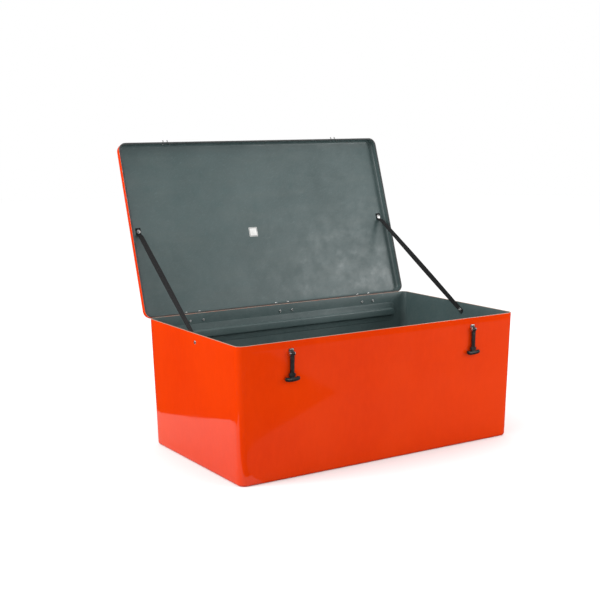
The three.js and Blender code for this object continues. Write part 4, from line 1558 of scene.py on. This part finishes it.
    def keeper_pattern(self, size: Vector) -> Piece:
        """Models the forked keeper: a plate with two prongs, tipped up at their ends.

        Args:
            size: The keeper's whole size, prongs included.

        Returns:
            The keeper, with its plate's back at y 0 and its foot at z 0.
        """
        half = size.x / 2
        height = size.z - self.prong_tip + self.prong_drop
        plate = block("keeper", (-half, -self.sheet, 0), (half, 0, height))
        flat_corner = lambda a, b: abs(a.x - b.x) < TOUCH and abs(a.z - b.z) < TOUCH
        round_edges(plate, flat_corner, 3 * MM, 6)
        top = height - self.prong_drop
        low = top - self.prong_thickness
        for side in (-1, 1):
            near = side * self.keeper_slot / 2
            left, right = sorted((near, near + side * self.prong_width))
            prong = block("prong", (left, -size.y, low), (right, -self.sheet / 2, top))
            tip = block("tip", (left, -size.y, low), (right, -size.y + self.prong_tip, top + self.prong_tip))
            fuse(prong, tip)
            fuse(plate, prong)
        soften(plate, 0.35 * MM, 2, 50)
        return finished(plate, 34, self.finishes.steel)

    def rivet_pattern(self, length: float) -> Piece:
        """Models a blind rivet, domed outside with its broken mandrel, and its set tail.

        Args:
            length: Its whole length.

        Returns:
            The rivet, with its head below 0.
        """
        rivet = self.rivet
        grip = rivet.grip(length)
        tail = ((1, 0), (1, 0.45), (0.86, 0.8), (0.55, 1.0))
        profile = rivet.domed() + [(rivet.shank, 0), (rivet.shank, grip)]
        profile += [(rivet.tail * wide, grip + rivet.tail_height * high) for wide, high in tail]
        piece = turning("rivet", profile, 24)
        cut(piece, bar("mandrel", 0.8 * MM, 1.2 * MM, Axis.Z, (0, 0, -rivet.head_height), 16))
        return finished(piece, 40, self.finishes.steel)

    def build(self) -> None:
        """Models the patterns and sets them at each latch."""
        bracket, pin, handle = self.bracket_pattern(), self.pin_pattern(), self.handle_pattern()
        keeper_box = shut_box("left_keeper")
        keeper = self.keeper_pattern(keeper_box[1] - keeper_box[0])
        tilt = Matrix.Rotation(DRAFT_ANGLE, 4, "X")
        inwards = tilt @ Vector((0, 1, 0))
        wall_rivet_box, lid_rivet_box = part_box("left_latch_rivet_1"), shut_box("left_keeper_rivet_1")
        spread = 2 * self.rivet.head * math.sin(DRAFT_ANGLE)
        wall_length = (wall_rivet_box[1] - wall_rivet_box[0]).y - spread
        lid_length = (lid_rivet_box[1] - lid_rivet_box[0]).y
        wall_rivet, lid_rivet = self.rivet_pattern(wall_length), self.rivet_pattern(lid_length)
        for side, body in ((Side.LEFT, Body.LEFT_LATCH), (Side.RIGHT, Body.RIGHT_LATCH)):
            name = side.word
            pivot = Vector(joint(f"{name}_latch_pivot")["pos_m"])
            at_pin = Matrix.Translation(pivot) @ tilt
            piece = stamp(bracket, f"{name}_latch_saddle", at_pin)
            hang(piece, Body.BOX, Slot.STAINLESS_STEEL, f"{name}_latch_bracket")
            piece = stamp(pin, f"{name}_latch_crosspin", at_pin)
            hang(piece, Body.BOX, Slot.STAINLESS_STEEL, f"{name}_latch_pin")
            piece = stamp(handle, f"{name}_latch_tee_strap", at_pin)
            hang(piece, body, Slot.LATCH_RUBBER, f"{name}_latch_handle")
            low, high = shut_box(f"{name}_keeper")
            foot = Matrix.Translation(((low.x + high.x) / 2, high.y, low.z))
            piece = stamp(keeper, f"{name}_keeper_fork", OPEN_LID @ foot)
            hang(piece, Body.LID, Slot.STAINLESS_STEEL, f"{name}_keeper")
            for number in (1, 2):
                set_fixing(wall_rivet, f"{name}_saddle_rivet_{number}", f"{name}_latch_rivet_{number}",
                           Body.BOX, inwards, wall_length / 2 - self.rivet.head_height)
                set_fixing(lid_rivet, f"{name}_fork_rivet_{number}", f"{name}_keeper_rivet_{number}",
                           Body.LID, Vector((0, 1, 0)), lid_length / 2 - self.rivet.head_height)
        scrap(bracket, pin, handle, keeper, wall_rivet, lid_rivet)


# ---------------------------------------------------------------- check straps


@dataclass(frozen=True)
class Station:
    """One place on a strap's route: its middle and the directions across and through the webbing."""

    middle: Vector
    across: Vector
    through: Vector


@dataclass
class Stays:
    """Two webbing check straps, each bolted to an end wall and screwed to the lid."""

    finishes: Finishes
    box_wall: float = 6 * MM
    width: float = 20 * MM
    thickness: float = 2 * MM
    tail: float = 14 * MM
    twist_steps: int = 16
    bolt: Fixing = Fixing(3 * MM, 6.5 * MM, 3 * MM, 3 * MM, 7 * MM)
    screw: Fixing = Fixing(3 * MM, 8 * MM, 2.4 * MM, 6.5 * MM, 2.2 * MM)
    bolt_socket: float = 2.3 * MM
    bolt_socket_depth: float = 1.7 * MM
    screw_socket: float = 2.0 * MM
    screw_socket_depth: float = 1.2 * MM
    washer_thickness: float = 1.6 * MM
    washer_radius: float = 9 * MM
    nut_radius: float = 5.6 * MM
    nut_height: float = 4.6 * MM
    hem: tuple[float, float] = (11 * MM, 42 * MM)
    hem_tails: tuple[float, float] = (1.0, 1.5)
    hem_inset: float = 0.4 * MM
    hem_thickness: float = 1.3 * MM
    stitch_margin: float = 3 * MM
    stitch: Vector = field(default_factory=lambda: Vector((0.7 * MM, 2.0 * MM, 0.5 * MM)))
    strap_cuts: int = 100
    # Passes of cuts for the hem on the wall, then for the hem on the lid.
    hem_cuts: tuple[tuple[int, ...], ...] = ((6, 6), (6,))

    def wall_anchor(self, side: Side) -> Vector:
        """The middle of the webbing at the end wall's bolt."""
        bolt = middle(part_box(f"{side.word}_stay_bolt"))
        inside = BOX_TOP.x - drawn_in(bolt.z) - self.box_wall
        return Vector((side.value * (inside - 2 * GAP - self.thickness / 2), bolt.y, bolt.z))

    def lid_anchor(self, side: Side) -> Vector:
        """The middle of the webbing at the lid's screw, with the lid shut."""
        low, high = shut_box(f"{side.word}_stay_screw")
        height = low.z + self.screw.head_height + GAP + self.thickness / 2
        return Vector(((low.x + high.x) / 2, (low.y + high.y) / 2, height))

    def station(
        self, place: Vector, ahead: Vector, turn: float, facing: Vector = Vector((1, 0, 0))
    ) -> Station:
        """One station of a strap's route.

        Args:
            place: The middle of the webbing.
            ahead: The direction that the strap runs in.
            turn: How far it has twisted, in radians.
            facing: The direction that its flat faces before it twists.

        Returns:
            The station.
        """
        wide = facing.cross(ahead).normalized()
        flat = ahead.cross(wide).normalized()
        across = wide * math.cos(turn) + flat * math.sin(turn)
        return Station(place, across, ahead.cross(across).normalized())

    def route(self, side: Side) -> list[Station]:
        """The route of a strap from its tail on the wall to its tail on the lid, a quarter turn later."""
        start = self.wall_anchor(side)
        shut = self.lid_anchor(side)
        screw = OPEN_LID @ shut
        tail = OPEN_LID @ (shut + Vector((0, -self.tail, 0)))
        lid_ahead = (tail - screw).normalized()
        lid_normal = (OPEN_LID @ (shut + Vector((0, 0, -1 * MM))) - screw).normalized()
        ahead = (screw - start).normalized()
        bend = screw - ahead * 2 * self.tail
        wall_facing = Vector((math.cos(DRAFT_ANGLE), 0, -side.value * math.sin(DRAFT_ANGLE)))
        up_wall = Vector((side.value * math.tan(DRAFT_ANGLE) * ahead.z, ahead.y, ahead.z)).normalized()
        leaving = start + up_wall * self.tail
        route = [self.station(start - up_wall * self.tail, up_wall, 0, wall_facing),
                 self.station(start, up_wall, 0, wall_facing),
                 self.station(leaving, up_wall, 0, wall_facing)]
        for step in range(1, self.twist_steps + 1):
            share = step / self.twist_steps
            route.append(self.station(leaving.lerp(bend, share), ahead, QUARTER * share))
        lift = screw + lid_normal * 1 * MM - lid_ahead * self.tail * 0.8
        route.append(self.station(lift, (ahead + lid_ahead).normalized(), QUARTER))
        route.append(self.station(screw - lid_ahead * self.tail * 0.5, lid_ahead, QUARTER))
        route.append(self.station(screw, lid_ahead, QUARTER))
        route.append(self.station(tail, lid_ahead, QUARTER))
        return route

    def lay(self, strip: Piece, route: list[Station], reaches: list[float]) -> None:
        """Lays a straight strip along a route.

        Args:
            strip: The strip, with X across, Y along and Z through the webbing.
            route: The stations of the route.
            reaches: How far along the strap each station is.
        """
        for vertex in strip.data.vertices:
            across, reach, through = vertex.co
            reach = min(max(reach, reaches[0]), reaches[-1])
            number = max(k for k in range(len(reaches) - 1) if reaches[k] <= reach)
            a, b = route[number], route[number + 1]
            before, after = route[max(number - 1, 0)], route[min(number + 2, len(route) - 1)]
            span = reaches[number + 1] - reaches[number]
            t = (reach - reaches[number]) / span
            run_a = self.gap(reaches, number - 1, number + 1)
            run_b = self.gap(reaches, number, number + 2)
            slope_a = (b.middle - before.middle) * span / max(run_a, TOUCH)
            slope_b = (after.middle - a.middle) * span / max(run_b, TOUCH)
            place = (a.middle * (2 * t**3 - 3 * t**2 + 1) + slope_a * (t**3 - 2 * t**2 + t)
                     + b.middle * (3 * t**2 - 2 * t**3) + slope_b * (t**3 - t**2))
            wide = a.across.lerp(b.across, t).normalized()
            thick = a.through.lerp(b.through, t).normalized()
            vertex.co = place + wide * across + thick * through

    def gap(self, reaches: list[float], first: int, last: int) -> float:
        """The length of strap between two stations, held to the ends of the route."""
        return reaches[min(last, len(reaches) - 1)] - reaches[max(first, 0)]

    def strip(self, name: str, length: float) -> Piece:
        """Models a strap laid out straight, with its hems and its stitching.

        Args:
            name: The piece's name.
            length: The strap's length.

        Returns:
            The strip, with its own coordinates in strap widths.
        """
        half, thick = self.width / 2, self.thickness / 2
        strap = block(name, (-half, 0, -thick), (half, length, thick))
        long_edge = lambda a, b: abs(a.y - b.y) > TOUCH
        round_edges(strap, long_edge, thick * 0.75, 3)
        dress(strap, self.finishes.webbing, self.finishes.thread)
        near, far = self.hem
        wall_tail, lid_tail = (share * self.tail for share in self.hem_tails)
        hem_half = half - self.hem_inset
        layers, rows = [], []
        spans = ((near + wall_tail, far + wall_tail), (length - far - lid_tail, length - near - lid_tail))
        for start, end in spans:
            layer = block("hem", (-hem_half, start, thick * 0.9), (hem_half, end, thick + self.hem_thickness))
            round_edges(layer, long_edge, self.hem_thickness * 0.5, 3)
            dress(layer, self.finishes.webbing, self.finishes.thread)
            layers.append(layer)
            rows.extend(self.stitches(start, end))
        for part, passes in zip((strap, *layers), ((self.strap_cuts,), *self.hem_cuts)):
            for cuts in passes:
                pick(part, Element.EDGE, long_edge)
                bpy.ops.mesh.subdivide(number_cuts=cuts)
        let_go()
        gather(strap, *layers, *rows)
        self.set_coordinates(strap)
        return strap

    def stitches(self, start: float, end: float) -> list[Piece]:
        """Models the stitching of one hem: two rows along it, two across and two crossing.

        Args:
            start: Where the hem starts.
            end: Where it ends.

        Returns:
            The rows of stitches.
        """
        top = self.thickness / 2 + self.hem_thickness
        half = self.width / 2 - self.stitch_margin
        near, far = start + self.stitch_margin, end - self.stitch_margin
        corners = ((-half, near), (-half, far), (half, far), (half, near))
        lines = [(corners[k], corners[(k + 1) % 4]) for k in range(4)]
        lines += [(corners[0], corners[2]), (corners[1], corners[3])]
        pattern = block("stitch", -self.stitch / 2, self.stitch / 2)
        soften(pattern, self.stitch.z * 0.3, 1, 40)
        dress(pattern, self.finishes.thread)
        rows = []
        for first, last in lines:
            run = Vector(last) - Vector(first)
            count = int(run.length / (self.stitch.y * 1.5))
            turn = Matrix.Rotation(math.atan2(run.y, run.x) - QUARTER, 4, "Z")
            for number in range(count):
                spot = Vector(first) + run * (number + 0.5) / count
                place = Matrix.Translation((spot.x, spot.y, top)) @ turn
                rows.append(stamp(pattern, "row", place))
        scrap(pattern)
        return rows

    def set_coordinates(self, strap: Piece) -> None:
        """Writes the strap's own coordinates, in strap widths across and along it."""
        layer = strap.data.uv_layers[0]
        layer.name = "UVMap"
        for loop in strap.data.loops:
            point = strap.data.vertices[loop.vertex_index].co
            layer.data[loop.index].uv = (point.x / self.width + 0.5, point.y / self.width)

    def bolt_pattern(self, length: float) -> Piece:
        """Models the button-head bolt through the end wall, threaded at its inner end.

        Args:
            length: Its whole length.

        Returns:
            The bolt, with its head below 0.
        """
        bolt = self.bolt
        grip = bolt.grip(length)
        profile = bolt.domed() + [(bolt.shank, 0), (bolt.shank, grip)]
        body = turning("bolt", profile + bolt.thread(grip, grip + bolt.tail_height), 32)
        socket(body, self.bolt_socket, -bolt.head_height, self.bolt_socket_depth)
        return finished(body, 32, self.finishes.steel)

    def nut_pattern(self) -> Piece:
        """Models the washer and nut on the inside of the end wall, standing up from 0."""
        bore = self.bolt.shank + GAP / 2
        ring = washer("ring", self.washer_radius, 0, self.washer_thickness, bore)
        top = self.washer_thickness + self.nut_height
        nut = hexagon("nut", self.nut_radius, self.washer_thickness, top, bore)
        gather(ring, nut)
        return finished(ring, 32, self.finishes.steel)

    def screw_pattern(self, length: float) -> Piece:
        """Models the washer-head screw through the lid, with its domed cap nut outside.

        Args:
            length: Its whole length.

        Returns:
            The screw, with its head below 0.
        """
        screw = self.screw
        grip = screw.grip(length)
        head = ((0.30, 1.0), (0.50, 0.92), (0.62, 0.66), (0.64, 0.45), (0.94, 0.36), (1.0, 0.15), (1.0, 0.0))
        profile = [(screw.head * wide, -screw.head_height * high) for wide, high in head]
        profile += [(screw.shank, 0), (screw.shank, grip)]
        cap = ((1, 0), (1, 0.25), (0.78, 0.32), (0.70, 0.72), (0.45, 0.96), (0.2, 1.0))
        profile += [(screw.tail * wide, grip + screw.tail_height * high) for wide, high in cap]
        body = turning("screw", profile, 32)
        socket(body, self.screw_socket, -screw.head_height, self.screw_socket_depth)
        return finished(body, 36, self.finishes.steel)

    def build(self) -> None:
        """Models both straps and their fixings."""
        nut = self.nut_pattern()
        for side in Side:
            name = side.word
            inwards = Matrix.Rotation(side.value * DRAFT_ANGLE, 4, "Y") @ Vector((-side.value, 0, 0))
            bolt_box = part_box(f"{name}_stay_bolt")
            spread = (self.bolt.head + self.bolt.shank) * math.sin(DRAFT_ANGLE)
            length = (bolt_box[1] - bolt_box[0]).x - spread
            bolt = self.bolt_pattern(length)
            set_fixing(bolt, f"{name}_stay_wall_bolt", f"{name}_stay_bolt", Body.BOX, inwards,
                       length / 2 - self.bolt.head_height)
            set_fixing(nut, f"{name}_stay_wall_nut", f"{name}_stay_nut", Body.BOX, inwards,
                       (self.washer_thickness + self.nut_height) / 2)
            low, high = shut_box(f"{name}_stay_screw")
            screw = self.screw_pattern(high.z - low.z)
            under = Vector(((low.x + high.x) / 2, (low.y + high.y) / 2, low.z + self.screw.head_height))
            piece = stamp(screw, f"{name}_stay_lid_screw", OPEN_LID @ Matrix.Translation(under))
            hang(piece, Body.LID, Slot.STAINLESS_STEEL, f"{name}_stay_screw")
            scrap(bolt, screw)
            self.build_strap(side)
        scrap(nut)

    def build_strap(self, side: Side) -> None:
        """Models one strap and lays it along its route from the box to the lid.

        Args:
            side: The end of the chest.
        """
        route = self.route(side)
        reaches = [0.0]
        for a, b in zip(route, route[1:]):
            reaches.append(reaches[-1] + (b.middle - a.middle).length)
        strap = self.strip(f"{side.word}_webbing_stay", reaches[-1])
        self.lay(strap, route, reaches)
        fair(strap, 50)
        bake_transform(strap)
        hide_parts(f"{side.word}_check_strap")
        log.info("%s: %.0f mm long", strap.name, reaches[-1] / MM)


# ---------------------------------------------------------------- studio


@dataclass(frozen=True)
class Card:
    """A sheet of paper on the studio's floor."""

    name: str
    tone: float
    height: float
    corners: tuple[tuple[float, float], ...]


@dataclass
class Studio:
    """The plain studio: a pale floor, a bright surround, soft lights and the camera."""

    floor_radius: float = 14.0
    floor_tone: Colour = (0.90, 0.90, 0.90)
    camera_place: Point = (-2.3753, -3.535, 1.2079)
    camera_yaw: float = 32.26
    camera_pitch: float = 8.933
    camera_roll: float = -0.474
    lens: float = 68.88
    sensor: float = 36
    surround: float = 1.12
    reflected: float = 0.02
    reflected_sky: float = 0.45
    cards: tuple[Card, ...] = (
        Card("left_paper", 0.50, 1 * MM, ((-1.40, -0.42), (-0.45, -0.42), (-0.45, 1.26), (-0.60, 1.01))),
        Card("near_paper", 0.11, 2 * MM,
             ((-0.50, -0.60), (0.34, -1.13), (1.6, -1.13), (1.6, -0.2), (-0.5, -0.2))),
        Card("far_paper", 0.10, 2 * MM, ((0.34, -1.13), (0.52, -2.4), (4.0, -2.4), (4.0, -1.0), (1.6, -1.0))),
    )

    def lay_floor(self) -> None:
        """Lays the pale floor, and on it the sheets of paper that glossy faces reflect."""
        let_go()
        bpy.ops.mesh.primitive_circle_add(vertices=96, radius=self.floor_radius, fill_type="NGON")
        floor = added("studio_floor")
        dress(floor, self.matt("pale_floor", self.floor_tone))
        floor.visible_glossy = False
        for card in self.cards:
            self.lay_card(card)

    def lay_card(self, card: Card) -> None:
        """Lays one sheet of paper on the floor, seen only in what glossy faces reflect.

        Args:
            card: The sheet.
        """
        let_go()
        bpy.ops.mesh.primitive_circle_add(vertices=len(card.corners), radius=1, fill_type="NGON")
        paper = added(card.name)
        for vertex, (x, y) in zip(paper.data.vertices, card.corners):
            vertex.co = (x, y, card.height)
        dress(paper, self.matt(card.name, (card.tone,) * 3))
        paper.visible_camera = False
        paper.visible_diffuse = False
        paper.visible_shadow = False

    def matt(self, name: str, tone: Colour) -> Material:
        """Makes a plain matt paint, very slightly uneven.

        Args:
            name: The material's name.
            tone: Its linear colour.

        Returns:
            The material.
        """
        recipe = Recipe(name)
        recipe.setting(Roughness=1.0, Specular_IOR_Level=0.0)
        darker = tuple(share * 0.99 for share in tone)
        return recipe.drive(Base_Color=recipe.shades(recipe.noise(0.8, 2), (0.3, darker), (0.7, tone)))

    def light_room(self) -> None:
        """Lights the surround: white to the eye, and dimmer in what glossy faces reflect."""
        world = bpy.data.worlds.new("studio_surround")
        bpy.context.scene.world = world
        world.use_nodes = True
        nodes, links = world.node_tree.nodes, world.node_tree.links
        path = nodes.new("ShaderNodeLightPath")
        levels = nodes.new("ShaderNodeMixRGB")
        levels.inputs["Color1"].default_value = (self.surround,) * 3 + (1,)
        direction = nodes.new("ShaderNodeTexCoord")
        parts = nodes.new("ShaderNodeSeparateXYZ")
        links.new(direction.outputs["Generated"], parts.inputs["Vector"])
        sky = nodes.new("ShaderNodeMapRange")
        sky.inputs["From Max"].default_value = 0.5
        sky.inputs["To Min"].default_value = self.reflected
        sky.inputs["To Max"].default_value = self.reflected_sky
        links.new(parts.outputs["Z"], sky.inputs["Value"])
        links.new(sky.outputs["Result"], levels.inputs["Color2"])
        links.new(path.outputs["Is Glossy Ray"], levels.inputs["Fac"])
        seen = nodes.new("ShaderNodeMixRGB")
        seen.inputs["Color2"].default_value = (1, 1, 1, 1)
        links.new(path.outputs["Is Camera Ray"], seen.inputs["Fac"])
        links.new(levels.outputs["Color"], seen.inputs["Color1"])
        # Without this the steel fittings turn paler.
        world.cycles.sampling_method = "NONE"
        background = nodes["Background"]
        links.new(seen.outputs["Color"], background.inputs["Color"])

    def hang_light(
        self, name: str, place: Point, size: float, power: float, aim: Point = (0, 0, 0.4)
    ) -> None:
        """Hangs a square soft light.

        Args:
            name: The light's name.
            place: Where it hangs.
            size: Its side.
            power: Its power in watts.
            aim: The point that it faces.
        """
        let_go()
        turn = (Vector(aim) - Vector(place)).to_track_quat("-Z", "Y").to_euler()
        bpy.ops.object.light_add(type="AREA", location=place, rotation=turn)
        lamp = bpy.context.object
        lamp.name = name
        lamp.data.size = size
        lamp.data.energy = power

    def set_camera(self) -> None:
        """Sets the camera, with its tilt about its own line of sight."""
        yaw, pitch, roll = (math.radians(a) for a in (self.camera_yaw, self.camera_pitch, self.camera_roll))
        forward = Vector((math.sin(yaw) * math.cos(pitch), math.cos(yaw) * math.cos(pitch), -math.sin(pitch)))
        level = Vector((math.cos(yaw), -math.sin(yaw), 0))
        upright = level.cross(forward)
        right = level * math.cos(roll) + upright * math.sin(roll)
        up = upright * math.cos(roll) - level * math.sin(roll)
        let_go()
        bpy.ops.object.camera_add(location=self.camera_place)
        camera = bpy.context.object
        camera.name = "studio_camera"
        turn = Matrix((right, up, -forward)).transposed()
        camera.matrix_world = Matrix.Translation(self.camera_place) @ turn.to_4x4()
        camera.data.lens = self.lens
        camera.data.sensor_width = self.sensor
        bpy.context.scene.camera = camera

    def build(self) -> None:
        """Makes the studio."""
        bpy.context.scene.view_settings.view_transform = "Standard"
        self.set_camera()
        self.lay_floor()
        self.light_room()
        self.hang_light("left_softbox", (-4.4, 0.4, 2.6), 2.2, 150)
        self.hang_light("front_softbox", (2.6, -2.2, 1.5), 1.2, 42)
        self.hang_light("top_softbox", (0.2, 0.2, 4.6), 3.0, 12)
        log.info("studio ready")


# ---------------------------------------------------------------- assembly


def main() -> None:
    """Builds the studio and then each sub-assembly in turn."""
    Studio().build()
    finishes = Finishes()
    BoxMoulding(finishes).build()
    LidMoulding(finishes).build()
    Hinges(finishes).build()
    Latches(finishes).build()
    Stays(finishes).build()


if __name__ == "__main__":
    main()
